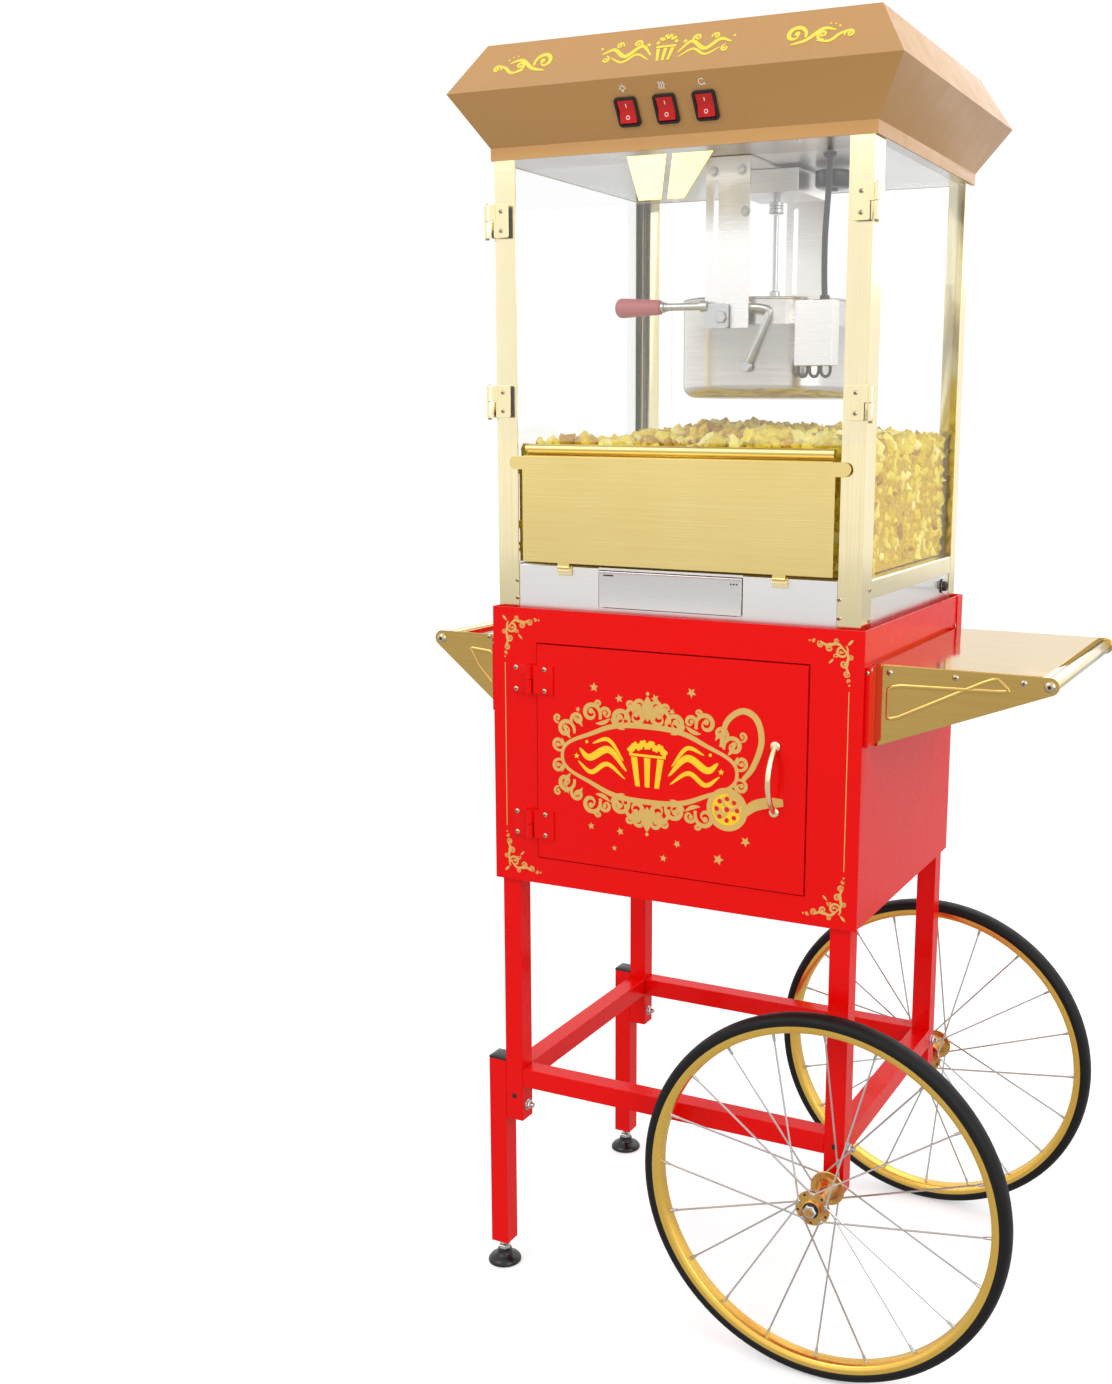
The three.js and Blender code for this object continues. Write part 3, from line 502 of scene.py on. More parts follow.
# %% Clear panels
def clear_panel(name, tint, smear, least=0.0):
    """Mostly see-through; gloss starts at the least share and rises at grazing angles."""
    f = Finish(name, Roughness=0.04, Metallic=1.0)
    f.set(Base_Color=f.blend(f.noise(12, 2), tint, tuple(0.96 * c for c in tint)))
    see = f.node("BsdfTransparent", None, {"Color": (0.996, 0.999, 0.997, 1)})
    shine = f.node("Fresnel", None, {"IOR": 1.38})
    share = shine * 0.12 + f.span(f.noise(5, 4), 0.45, 0.8, least, least + smear)
    both = f.node("MixShader", None, {0: share, 1: see, 2: Wire(f.tree, f.shader.outputs[0])})
    put(f.tree, f.tree.nodes["Material Output"].inputs[0], both)
    return f


clear_panel("clear_panel", (0.97, 0.985, 0.98), 0.008)
clear_panel("door_panel", (0.99, 0.99, 0.99), 0.015, 0.07)
print("clear panels done")

# %% [markdown]
# Popped corn is creamy white with butter-yellow patches, and brown where the hull is left.
# Each kernel carries a colour attribute: red holds its own tone, and green says how near a
# point is to the hull.

# %% Popped corn
# The corn glows weakly in its own colour: painted light that lifts the kernels shaded inside the
# case.
corn = Finish("popped_corn", Emission_Strength=0.05, Subsurface_Weight=0.2, Subsurface_Scale=0.004,
              Subsurface_Radius=(1.0, 0.7, 0.35))
tones, hulls = (corn.node("SeparateColor", None, {"Color": corn.node(
    "Attribute", {"attribute_name": "tone"}, out=0)}, out=k) for k in (0, 1))
puff = corn.noise(260, 3)
butter = corn.span(tones * 0.75 + puff * 0.5, 0.25, 0.9)
cream = corn.node("ValToRGB", {"stops": [
    (0.0, linear(252, 242, 160)), (0.4, linear(240, 220, 74)),
    (0.75, linear(224, 192, 30)), (1.0, linear(188, 142, 16))]}, {"Fac": butter})
husk = corn.span(hulls + puff * 0.3, 0.85, 1.05)
popped = corn.blend(husk, cream, linear(158, 88, 22))
# The corn's colour also feeds its glow, so the kernels carry painted light.
corn.set(Base_Color=popped, Emission_Color=popped,
         Roughness=corn.span(puff, 0.3, 0.7, 0.5, 0.75))
corn.bump(corn.noise(600, 3), 0.0012, 0.5)
print("popcorn finish done")

# %% [markdown]
# ## Light and ground
# Soft light comes from three large panels and a pale world, as on a product table. A white
# floor would throw so much light upwards that the hood's lower slope lost its shade. So the
# ground is pale for the camera's own rays, and darker for the light that bounces off it.
# The Light Path node tells the two apart. A weak glow keeps its shadows faint.

# %% Ground, world and lamps
WORLD_LIGHT = 1.05


def ground():
    """A large square that is level under the object and far past the view."""
    s = np.linspace(-9, 9, 25)
    x, y = np.meshgrid(s, s, indexing="ij")
    v = np.stack([x, y, np.full_like(x, -0.0005)], -1).reshape(-1, 3)
    mesh = bpy.data.meshes.new("ground")
    mesh.from_pydata(v, [], quads(25, 25))
    ob = in_scene("ground", mesh)
    f = Finish("ground_white", Specular_IOR_Level=0.1, Emission_Color=(1, 1, 1, 1),
               Emission_Strength=0.4)
    seen = f.node("LightPath", out=0)
    white = f.blend(f.noise(1.5, 2), (0.68, 0.68, 0.68), (0.66, 0.66, 0.662))
    f.set(Base_Color=f.blend(seen, (0.14, 0.14, 0.14), white),
          Roughness=f.span(f.noise(4, 2), 0.3, 0.7, 0.5, 0.6))
    mesh.materials.append(f.material)


def lamp(name, place, target, size, power):
    """A square panel of soft light that faces its target."""
    light = bpy.data.lights.new(name, "AREA")
    light.shape = "SQUARE"
    light.size = size
    light.energy = power
    ob = in_scene(name, light)
    away = Vector(place) - Vector(target)
    ob.matrix_world = Matrix.Translation(place) @ away.to_track_quat("Z", "Y").to_matrix().to_4x4()


def sky():
    """World colour by height: nearly even, and a little brighter towards the top."""
    world = bpy.data.worlds.new("studio")
    world.use_nodes = True
    bpy.context.scene.world = world
    tree = world.node_tree
    back = tree.nodes["Background"]
    where = tree.nodes.new("ShaderNodeTexCoord")
    split = tree.nodes.new("ShaderNodeSeparateXYZ")
    ramp = tree.nodes.new("ShaderNodeValToRGB")
    tree.links.new(where.outputs["Generated"], split.inputs[0])
    tree.links.new(split.outputs["Z"], ramp.inputs[0])
    tree.links.new(ramp.outputs[0], back.inputs[0])
    stops = ramp.color_ramp.elements
    stops[0].position, stops[0].color = 0.0, (0.99, 0.99, 0.99, 1)
    stops[1].position, stops[1].color = 0.9, (1.0, 1.0, 1.0, 1)
    back.inputs[1].default_value = WORLD_LIGHT


ground()
sky()
lamp("key", (-1.6, -2.6, 3.0), (0, 0, 0.9), 2.2, 30)
lamp("fill", (2.8, -1.6, 2.0), (0, 0, 0.8), 2.4, 34)
lamp("rear", (0.6, 2.8, 2.6), (0, 0, 1.0), 2.4, 16)
print("ground, world and three lamps")

# %% [markdown]
# ## The cart
# Cabinet, legs and rails are folded sheet and square tube. The frame has their true shape,
# so a softened copy with powder coat is all that they need.

# %% Sheets and tubes of the cart
LEGS = ["leg_front_left", "leg_front_right", "leg_rear_left", "leg_rear_right"]
RAILS = ["cross_rail_front", "cross_rail_rear", "cross_rail_left", "cross_rail_right"]
for node in ["cabinet_front_frame", "cabinet_side_left", "cabinet_side_right",
             "cabinet_back_and_floor", "cabinet_top_tray"]:
    soften(node, "red_paint", "frame", 0.5)
for node in LEGS + RAILS + ["leg_extension_front", "leg_extension_rear"]:
    soften(node, "red_paint", "frame", 0.7)
soften("cabinet_door", "red_paint", "cabinet_door", 0.5)
print("cart sheets:", 5 + len(LEGS + RAILS) + 2 + 1)

# %% [markdown]
# Fasteners are small but catch the light. A pan head is a low dome turned round its axis,
# with a cross of two dark bars on top: painted shade for its cross recess. A hexagon is a
# turned profile with six sides. All the heads that ride on one body are joined into one piece.

# %% Fasteners
def pan_head(x, y, z, axis="y", sign=-1, radius=3.2):
    """Dome whose height falls as (1 - 0.8 s^2.4) from the middle to the edge."""
    s = np.array([0, 0.3, 0.55, 0.75, 0.9, 1.0])
    h = 0.55 * radius * (1 - 0.8 * s**2.4)
    profile = [*zip(s * radius, sign * h), (radius, 0), (0, 0)]
    return turned(profile, (x, y, z), axis, 20)


def slot_shade_cross(x, y, z, axis="y", sign=-1, radius=3.2):
    """Two crossed dark bars that stand a hair above the dome: painted shade for the cross recess.
    """
    k = "xyz".index(axis)
    top = 0.56 * radius * sign
    parts = []
    for long, short in ((0.5, 0.13), (0.13, 0.5)):
        a, b = long * radius, short * radius
        bar = slab([(-a, -b), (a, -b), (a, b), (-a, b)], top * 0.8, top * 1.03, axis)
        parts.append(shifted(bar, (x, y, z)))
    return parts


def hexagon(x, y, z, axis, low, high, radius):
    """Six-sided nut or bolt head with chamfered corners."""
    c = 0.12 * radius
    s = math.copysign(1, high - low)
    profile = [(0, low), (radius, low), (radius, high - s * c), (radius - c, high), (0, high)]
    return turned(profile, (x, y, z), axis, 6)


def fasteners(name, body, places, finish="nickel"):
    """One piece of heads and one of painted recess shade for places (x, y, z, axis, sign, radius).
    """
    make(f"{name}_heads", [pan_head(*p) for p in places], finish, body)
    make(f"{name}_slot_shade", [part for p in places for part in slot_shade_cross(*p)],
         "black_plastic", body)
    print(name, len(places), "screws")


HINGE_ROWS = [z + d for z in (619.5, 802) for d in (-13.3, 13.3)]
fasteners("cabinet_hinge_screws", "frame", [(33.3, -2, z, "y", -1, 3.0) for z in HINGE_ROWS])
fasteners("door_hinge_screws", "cabinet_door", [(74, -3.5, z, "y", -1, 3.0) for z in HINGE_ROWS])
fasteners("bracket_screws", "frame",
          [(x, y, 840.3, "y", s, 3.6) for y, s in ((29, -1), (368, 1)) for x in (500, 575, 650)]
          + [(-24, y, 845, "y", s, 3.2) for y, s in ((29, -1), (368, 1))]
          + [(481.8, 5, 842, "y", -1, 2.4), (-1.8, 5, 842, "y", -1, 2.4)]
          + [(485, y, 844, "x", 1, 2.6) for y in (12, 372)])

# %% [markdown]
# Each bolt goes through a leg and its extension or its neighbour. A hexagon head sits on
# one side, and the thread's end with its nut shows on the other.

# %% Leg bolts
def leg_bolt(x0, x1, y, z):
    """Head at x0, plain nut and thread end at x1, along X."""
    s = math.copysign(1, x1 - x0)
    return [hexagon(x0, y, z, "x", 0, -4 * s, 6), hexagon(x1, y, z, "x", 0, 4.5 * s, 6.2),
            disc(7.5, 0, 0.8 * s, (x1, y, z), "x"),
            turned([(0, 0), (3.4, 0), (3.4, 8.6 * s), (2.8, 9.4 * s), (0, 9.4 * s)],
                   (x1, y, z), "x", 16)]


LEG_Y = (16.5, 375.5)
bolts = []
for y in LEG_Y:
    bolts += leg_bolt(-17.3, 33, y, 232)
    bolts += leg_bolt(447, 472, y, 268)
    bolts += leg_bolt(-17.3, 33, y, 250)[:1]
make("leg_bolts", bolts, "bright_zinc", "frame", bevel=0.2)
# Dark discs on the legs' front face are painted shade for open bolt holes.
make("leg_hole_shade", [disc(3.6, 0, -0.2, (x, 4, z), "y", 20)
                        for x, z in ((20.5, 246), (459.5, 272))],
     "black_plastic", "frame")
print("bolts:", len(bolts))

# %% [markdown]
# A square plastic cap closes each extension tube. Its crown is slightly domed: the height
# falls with the fourth power of the distance from the middle.

# %% Tube caps
def tube_cap(x, y, z, half=12.6, crown=1.4, wall=3.2):
    """Rounded square cap; height crown * (1 - u^4)(1 - v^4) above its wall."""
    u = np.linspace(-1, 1, 13)
    U, V = np.meshgrid(u, u, indexing="ij")
    top = np.stack([x + half * U, y + half * V, z + wall + crown * (1 - U**4) * (1 - V**4)], -1)
    ring = [(x - half, y - half), (x + half, y - half), (x + half, y + half), (x - half, y + half)]
    return [(top.reshape(-1, 3), quads(13, 13)), slab(ring, z, z + wall, "z")]


FOOT_X = -4.8
make("tube_caps", [p for y in LEG_Y for p in tube_cap(FOOT_X, y, 292)],
     "black_gloss", "frame", bevel=0.5)
print("two caps")

# %% [markdown]
# The levelling foot is a moulded disc with a soft rim, a plated nut and a threaded stem.
# The thread is a ridge whose radius rises and falls along the stem.

# %% Levelling feet
def levelling_foot(end, y):
    """Pad, nut and stem turned round the foot's axis."""
    pad = [(0, 0), (20.5, 0), (21.8, 0.8), (22, 2), (21.6, 4), (19.5, 6.8), (15, 9),
           (11, 11.5), (9.6, 14), (9.2, 17.6), (8.4, 18.2), (0, 18.2)]
    make(f"levelling_pad_{end}", [turned(pad, (FOOT_X, y, 0), "z", 56)], "black_gloss",
         f"foot_{end}", [f"levelling_foot_{end}"])
    h = np.linspace(23.5, 60, 60)
    thread = [(0, 23.5), *zip(3.7 + 0.35 * np.cos(h * 2 * np.pi / 1.5), h), (0, 60)]
    nut = turned([(0, 18.2), (7.6, 18.2), (8.2, 18.8), (8.2, 23), (7.6, 23.6), (0, 23.6)],
                 (FOOT_X, y, 0), "z", 6)
    make(f"levelling_stem_{end}", [nut, turned(thread, (FOOT_X, y, 0), "z", 20)],
         "bright_zinc", f"foot_{end}")


for end, y in zip(("front", "rear"), LEG_Y):
    levelling_foot(end, y)
print("two feet")

# %% [markdown]
# ## Wheels
# A bicycle wheel is a tyre on a hollow rim, held to the hub by crossing spokes. Each round
# piece is a profile turned round the axle. A spoke goes from a hub flange to the rim with
# a lean, so that it leaves the hub almost along its edge. Its nipple is a small cone.

# %% Wheel profiles
AXLE_X, AXLE_Z, SPOKE_COUNT = 457.0, 225.0, 20


def tyre_profile():
    """Rounded tyre: a superellipse of half width 13, with two shallow grooves on its tread."""
    t = np.linspace(-0.30 * np.pi, 1.30 * np.pi, 44)
    wide, tall, middle = 13.0, 8.2, 216.8
    h = wide * np.sign(np.cos(t)) * np.abs(np.cos(t)) ** 0.85
    r = middle + tall * np.sign(np.sin(t)) * np.abs(np.sin(t)) ** 0.9
    groove = 0.35 * np.exp(-((np.abs(h) - 6.5) / 0.7) ** 2) * (np.sin(t) > 0.3)
    outer = np.stack([r - groove, h], -1)
    return np.concatenate([outer, [(208.6, -8.3), (208.6, 8.3)], outer[:1]])


def rim_profile():
    """Hollow rim: a rounded inner wall, two side walls and two folded hooks."""
    t = np.linspace(0, np.pi, 15)
    belly = np.stack([204.5 - 2.4 * np.sin(t), -9.2 * np.cos(t)], -1)
    return np.concatenate([
        [(215.2, -11.5), (208.5, -11.5)], [(206.4, -10.9)], belly, [(206.4, 10.9)],
        [(208.5, 11.5), (215.2, 11.5), (215.8, 10.9), (215.2, 9.6), (212, 9.2), (208.2, 8.8),
         (208.2, -8.8), (212, -9.2), (215.2, -9.6), (215.8, -10.9), (215.2, -11.5)]])


def hub_profile(flange=21.0, spacing=26.4):
    """Barrel that swells between two thin flanges, with a cone cover at each end."""
    t = np.linspace(-1, 1, 15)
    barrel = np.stack([9.4 + 2.2 * t**4, 19 * t], -1)
    right = [(12.2, 21), (14.5, 24.2), (flange - 0.8, 24.6), (flange, 25.4), (flange - 0.4, 27),
             (14, 27.4), (11.4, 28), (11, 30.6), (10, 31.3), (5.6, 31.3)]
    left = [(r, -h) for r, h in right[::-1]]
    return [*left, *barrel.tolist(), *right, (5.6, -31.3)]


print("profiles:", len(tyre_profile()), len(rim_profile()), len(hub_profile()))

# %% [markdown]
# The twenty spokes alternate between the two flanges and lean forwards and backwards in
# pairs. Each wire starts with a short bend through its flange, under a small round head.

# %% Spokes and nipples
SPOKE_UP = (0.13, 0.97, 0.21)


def spoke_ends(index):
    """Hub end at radius flange - 3 and angle + lean; rim end at the rim's inner wall."""
    at = index / SPOKE_COUNT * 2 * np.pi
    lean = 0.9 if (index // 2) % 2 else -0.9
    side = 26.0 if index % 2 else -26.0
    low = (17.6 * np.cos(at + lean), side, 17.6 * np.sin(at + lean))
    high = (203.6 * np.cos(at), 0.0, 203.6 * np.sin(at))
    return np.array(low), np.array(high)


def spokes(centre):
    """Spoke wires with a bent head at the flange, and their nipples at the rim."""
    wires, nipples = [], []
    for i in range(SPOKE_COUNT):
        low, high = spoke_ends(i)
        s = np.sign(low[1])
        out = np.array([0, s, 0.0])
        path = np.array([low + out * 2.2, low + out * 1.4 + (high - low) * 0.004,
                         low + out * 0.9 + (high - low) * 0.016, high])
        wires.append(shifted(tube(path, 1.15, 8, SPOKE_UP), centre))
        wires.append(turned([(0, s * 2.9), (1.6, s * 2.7), (2.2, s * 2.0), (2.2, s * 1.2),
                             (0, s * 1.2)], low + centre, "y", 10))
        d = (high - low) / np.linalg.norm(high - low)
        neck = np.array([high - 11 * d, high - 10 * d, high - 2 * d, high + 0.6 * d])
        nipples.append(shifted(tube(neck, 2.0, 10, SPOKE_UP, (0.75, 0.85, 1.0, 1.5)), centre))
    return wires, nipples


def wheel(end, y):
    """Tyre, rim, hub, spokes and nipples of one wheel, all on the wheel's own body."""
    centre = np.array([AXLE_X, y, AXLE_Z])
    body, rim_slot = f"wheel_{end}", "wheel_gold"
    make(f"tyre_{end}_round", [turned(tyre_profile(), centre, "y", 128)], "tyre_rubber", body,
         [f"tyre_{end}"])
    make(f"rim_{end}", [turned(rim_profile(), centre, "y", 128)], "rim_gold", body,
         [f"spoked_wheel_{end}"])
    make(f"hub_{end}", [turned(hub_profile(), centre, "y", 56)], "yellow_zinc", body,
         angle=40)
    wires, nipples = spokes(centre)
    make(f"spokes_{end}", wires, "bright_zinc", body)
    make(f"nipples_{end}", nipples, "bright_zinc", body)
    # Dark discs on both flanges are painted shade for the holes in them.
    t = np.arange(10) / 10 * 2 * np.pi
    spots = [(AXLE_X + 17.6 * math.cos(a), AXLE_Z + 17.6 * math.sin(a)) for a in t + 0.25]
    make(f"flange_hole_shade_{end}",
         [disc(1.7, s * 27.25, s * 27.0, (px, y, pz), "y", 12)
          for px, pz in spots for s in (-1, 1)],
         "black_plastic", body)


wheel("front", -34.0)
wheel("rear", 436.0)
print("two wheels with", SPOKE_COUNT, "spokes each")

# %% [markdown]
# Each stub axle is a bolt through the leg. Outside the hub it carries a dark seal ring, a
# lock nut and a bright thread end; behind the hub a plated spacer keeps the wheel off the
# leg, and a nut holds it inside.

# %% Stub axles
def stub_axle(end, y, reach, side):
    """The axle's pieces along Y; side is 1 where the leg lies behind the wheel."""
    centre = (AXLE_X, y, AXLE_Z)

    def ring(r, a, b, count=32):
        return disc(r, side * a, side * b, centre, "y", count)

    shaft = [ring(4.9, -39.2, reach + 33), ring(8.6, 31.8, reach - 0.3),
             hexagon(*centre, "y", side * (reach + 25.3), side * (reach + 31), 9)]
    make(f"axle_{end}_spacer", shaft, "yellow_zinc", "frame",
         [f"axle_{end}"], bevel=0.4)
    nuts = [hexagon(*centre, "y", -side * 32.6, -side * 37.4, 8.4), ring(6.4, -37.3, -38.4)]
    make(f"axle_{end}_nuts", nuts, "bright_zinc", "frame", bevel=0.3)
    make(f"axle_{end}_seal", [ring(9.6, -31.7, -32.7)], "black_gloss", "frame",
         bevel=0.3)


stub_axle("front", -34.0, 38.0, 1)
stub_axle("rear", 436.0, 48.0, -1)
print("axles done")

# %% [markdown]
# ## Shelf, push handle and door pull
# The brackets are pressed from thin sheet: a triangle with a folded top flange and a raised
# bead that follows its lower edge. The bead is a half-round ridge carried along a path.

# %% Brackets
def bracket_outline(root, tip):
    """Upright at the root, a straight lower edge and a round nose at the tip."""
    s = math.copysign(1, tip - root)
    far = abs(tip - root)
    slope = math.atan2(83.5, far - 6) + math.asin(10 / math.hypot(far - 6, 83.5))
    t = np.linspace(slope - np.pi / 2, np.pi / 2, 14)
    nose = np.stack([root + s * (far + 10 * np.cos(t)), 838.5 + 10 * np.sin(t)], -1)
    return np.concatenate([[(root, 755), (root + 6 * s, 755)], nose, [(root, 848.5)]]), s, slope


def bracket(name, node, root, tip, y0, face):
    """Plate, folded flange and bead; face is -1 where the outer side looks forward."""
    outline, s, slope = bracket_outline(root, tip)
    y1 = y0 + 1.5
    inside = y1 if face < 0 else y0
    parts = [slab(outline, y0, y1)]
    a = np.array([root + 18 * s, 784.0])
    length = abs(tip - root) - 62
    b = a + length * np.array([s * math.cos(slope), math.sin(slope)])
    c = np.array([root + 18 * s, 826.0])
    d = np.array([tip - 42 * s, 829.0])
    bead = np.array([c, a, b, d, c])
    path = np.concatenate([np.linspace(bead[i], bead[i + 1], 10)[:-1] for i in range(4)])
    soft = sum(np.roll(path, k, 0) for k in (-1, 0, 1)) / 3
    ridge = np.insert(soft, 1, y0 if face < 0 else y1, 1)
    t = np.linspace(0, 2 * np.pi, 12, endpoint=False)
    parts.append(swept(ridge, np.stack([2.4 * np.cos(t), 1.1 * np.sin(t)], -1), (0, 1, 0),
                       closed=True))
    lip = (inside, inside + 9) if face < 0 else (inside - 9, inside)
    x0, x1 = sorted((root + 2 * s, tip - 14 * s))
    parts.append(block(x0, x1, *lip, 845.4, 846.6))
    make(name, parts, "mirror_gold", "frame", [node], bevel=0.3)


for end, y, face in (("front", 29.0, -1), ("rear", 366.5, 1)):
    bracket(f"shelf_bracket_{end}_pressed", f"shelf_bracket_{end}", 481.0, 678.0, y, face)
    bracket(f"handle_bracket_{end}_pressed", f"handle_bracket_{end}", -1.0, -95.0, y, face)
print("four brackets")

# %% [markdown]
# A round bar joins each pair of brackets at their tips. The shelf is one thin plate that
# sags a little in the middle, so that its reflection bends. Domed socket bolts hold it all.

# %% Bars, shelf plate and tip bolts
BAR_Z = 838.5
SHELF_BAR_X, HANDLE_BAR_X = 678.0, -95.0


def end_bar(name, node, x):
    """Round bar between the brackets, with a small shoulder at each end."""
    profile = [(0, 31), (6.6, 31), (7.6, 31.8), (8, 33), (8, 364.2), (7.6, 365.4), (6.6, 366.2),
               (0, 366.2)]
    make(name, [turned(profile, (x, 0, BAR_Z), "y", 40)], "polished_gold", "frame",
         [node])


end_bar("shelf_bar_round", "shelf_bar", SHELF_BAR_X)
end_bar("handle_bar_round", "handle_bar", HANDLE_BAR_X)


def shelf_plate():
    """Plate whose height sags by 0.5 mm in the middle."""
    u, v = np.meshgrid(np.linspace(0, 1, 17), np.linspace(0, 1, 25), indexing="ij")
    x, y = 486 + 184 * u, 30.9 + 335.4 * v
    dip = 0.5 * np.sin(np.pi * u) * np.sin(np.pi * v)
    return shell(np.stack([x, y, 849 - dip], -1), np.stack([x, y, 847.8 - dip], -1))


make("shelf_plate_sheet", [shelf_plate()], "mirror_gold", "frame",
     ["shelf_plate"], bevel=0.3, angle=50)
TIPS = [(x, y, s) for x in (SHELF_BAR_X, HANDLE_BAR_X) for y, s in ((29.0, -1), (368.0, 1))]
make("tip_bolts", [turned([(0, s * 3.4), (3.2, s * 3.2), (5.4, s * 2.2), (6.4, s * 0.8),
                           (6.4, 0), (0, 0)], (x, y, BAR_Z), "y", 28) for x, y, s in TIPS],
     "nickel", "frame")
# Dark hexagons in the bolt heads are painted shade for their sockets.
make("tip_bolt_socket_shade", [turned([(0, s * 3.6), (2.2, s * 3.5), (2.2, s * 3.1), (0, s * 3.1)],
                                 (x, y, BAR_Z), "y", 6) for x, y, s in TIPS],
     "black_plastic", "frame")
print("bars, plate and", len(TIPS), "tip bolts")

# %% [markdown]
# The door pull is a bow of round bar. It follows y = -42 * 2 t (1 - t) between its feet and
# is a little thicker in the middle.

# %% Door pull
t = np.linspace(0, 1, 33)
bow = np.stack([377 + 0 * t, -1.8 - 84 * t * (1 - t), 671.5 + 78 * t], -1)
feet = [turned([(0, -1.8), (6, -1.8), (6, -2.8), (5.2, -3.9), (3.6, -4.6), (0, -4.6)],
               (377, 0, z), "y", 28) for z in (671.5, 749.5)]
make("door_pull_bow", [tube(bow, 3.6, 20, up=(1, 0, 0),
                            grow=0.88 + 0.12 * np.sin(np.pi * t)), *feet],
     "polished_gold", "cabinet_door", ["door_pull"])
print("door pull done")

# %% [markdown]
# ## The glass case
# The base, the drawer and the four angle posts are sheet metal from the frame, softened
# and plated. The fixed panes keep their frame shape and only get the clear finish.

# %% Base, posts and panes
soften("machine_base", "stainless", "frame", 0.5)
soften("kernel_drawer", "stainless", "kernel_drawer", 0.4)
for node in ("post_front_left", "post_front_right", "post_rear_left", "post_rear_right"):
    soften(node, "polished_gold", "frame", 0.4)


def coat_node(node, material):
    """Gives a frame node that keeps its shape its finish."""
    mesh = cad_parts[node].data
    mesh.materials.clear()
    mesh.materials.append(MATERIALS[material])


for node in ("glass_left", "glass_right", "glass_rear"):
    coat_node(node, "clear_panel")
coat_node("ceiling_plate", "stainless")
print("case shell done")

# %% [markdown]
# Folded trim is a strip: a centre line in two axes gets half the sheet's thickness on each
# side, and the closed outline is carried along the third axis.

# %% Side sills, base lip and drawer face
def strip(line, thick):
    """Outline of a bent sheet: the centre line plus and minus half the thickness."""
    p = np.asarray(line, float)
    d = np.gradient(p, axis=0)
    d /= np.linalg.norm(d, axis=1, keepdims=True)
    n = np.stack([-d[:, 1], d[:, 0]], -1) * thick / 2
    return np.concatenate([p + n, (p - n)[::-1]])


sills = []
for x, s in ((468.9, 1), (3.1, -1)):
    line = [(x, 919), (x, 932), (x, 939.2), (x - 1.2 * s, 940.6), (x - 2.4 * s, 940.7)]
    sills.append(slab(strip(line, 1.2), 48.4, 383.8))
make("side_sills", sills, "polished_gold", "frame", bevel=0.3)
lip_line = [(14.2, 883), (14.2, 938), (14.2, 940.3), (15.4, 941.6), (20, 941.7)]
make("base_front_lip", [slab(strip(lip_line, 0.9), 31, 140, "x"),
                        slab(strip(lip_line, 0.9), 327.2, 441, "x"),
                        block(140, 327.2, 13.8, 14.6, 938.9, 941.9)],
     "stainless", "frame", bevel=0.2)
make("drawer_lip", [slab(strip([(12.4, 894.6), (12.4, 934), (11.6, 936.6), (10.2, 937.6)], 0.9),
                         142.2, 325, "x")],
     "stainless", "kernel_drawer", bevel=0.25)
make("drawer_marks", [block(147.5, 161, 11.8, 12.1, 932.3, 934.0)]
     + [disc(1.1, 11.8, 12.1, (x, 0, 931), "y", 12) for x in (313, 316.6, 320.2)],
     "black_plastic", "kernel_drawer")
print("trim done")

# %% [markdown]
# The cord gland is a moulded ring with ribs: its radius swells three times along its neck.

# %% Cord gland
h = np.linspace(0.6, 6.0, 28)
neck = [*zip(7.0 + 0.45 * np.cos(2 * np.pi * (h - 0.6) / 1.8) - 0.2 * h, 470 + h - 0.8)]
make("cord_gland", [turned([(0, 468.3), (9.4, 468.3), (9.4, 469.9), (8.6, 470.5), *neck,
                            (3.4, 475.2), (3.4, 473), (0, 473)], (0, 350, 905), "x", 32)],
     "black_plastic", "frame")
print("gland done")

# %% [markdown]
# The clear front doors are sheets with plated hinge leaves. Leaf, knuckle and barrel are
# made as one plated piece that moves with its door. Each door also has a wedge-shaped finger
# plate, which leans out at its lower edge so that a finger fits behind it.

# %% Front doors
DOORS = {
    "left": {"x": (3.0, 235.2), "pin": -4.0, "leaf": (4.0, 24.0), "knuckle": (-4.0, 6.0),
             "pull": [(180, 1407.5), (202, 1357), (230, 1357), (230, 1407.5)]},
    "right": {"x": (236.8, 469.0), "pin": 476.0, "leaf": (448.0, 468.0),
              "knuckle": (466.0, 476.0),
              "pull": [(237.2, 1407.5), (237.2, 1357), (258, 1357), (287, 1407.5)]},
}
HINGE_Z = (1136, 1345)
PULL_TOP, PULL_TALL, FLARE = 1407.5, 50.5, 13.0


def rounded(x0, x1, z0, z1, r, count=6):
    """Rectangle outline whose corners are quarter circles of radius r."""
    t = np.linspace(0, np.pi / 2, count)
    c, s = r * np.cos(t), r * np.sin(t)
    return np.concatenate([
        np.stack([x1 - r + c, z1 - r + s], -1), np.stack([x0 + r - s, z1 - r + c], -1),
        np.stack([x0 + r - c, z0 + r - s], -1), np.stack([x1 - r + s, z0 + r - c], -1)])


for side, d in DOORS.items():
    body = f"front_door_{side}"
    make(f"{body}_pane", [slab(rounded(*d["x"], 1090, 1400, 3), 8.3, 11.9)], "door_panel",
         body, [body], bevel=0.3)
    v, f = slab(d["pull"], 6.6, 8.2)
    v[:, 1] -= FLARE * (PULL_TOP - v[:, 2]) / PULL_TALL
    make(f"{body}_pull", [(v, f)], "brushed_gold", body, bevel=0.3)
    metal = []
    for z in HINGE_Z:
        metal.append(slab(rounded(*d["leaf"], z - 19, z + 19, 2), 6.6, 8.2))
        metal.append(block(*d["knuckle"], 5.2, 7.0, z + 0.4, z + 18.9))
        metal.append(turned([(1.9, 0.4), (3.6, 0.4), (3.6, 18.8), (1.9, 18.8), (1.9, 0.4)],
                            (d["pin"], 5.6, z), "z", 24))
    make(f"{body}_plates", metal, "polished_gold", body, bevel=0.3)
    x = sum(d["leaf"]) / 2
    fasteners(f"{body}_screws", body,
              [(x, 6.5, z + k, "y", -1, 2.7) for z in HINGE_Z for k in (-11, 11)])
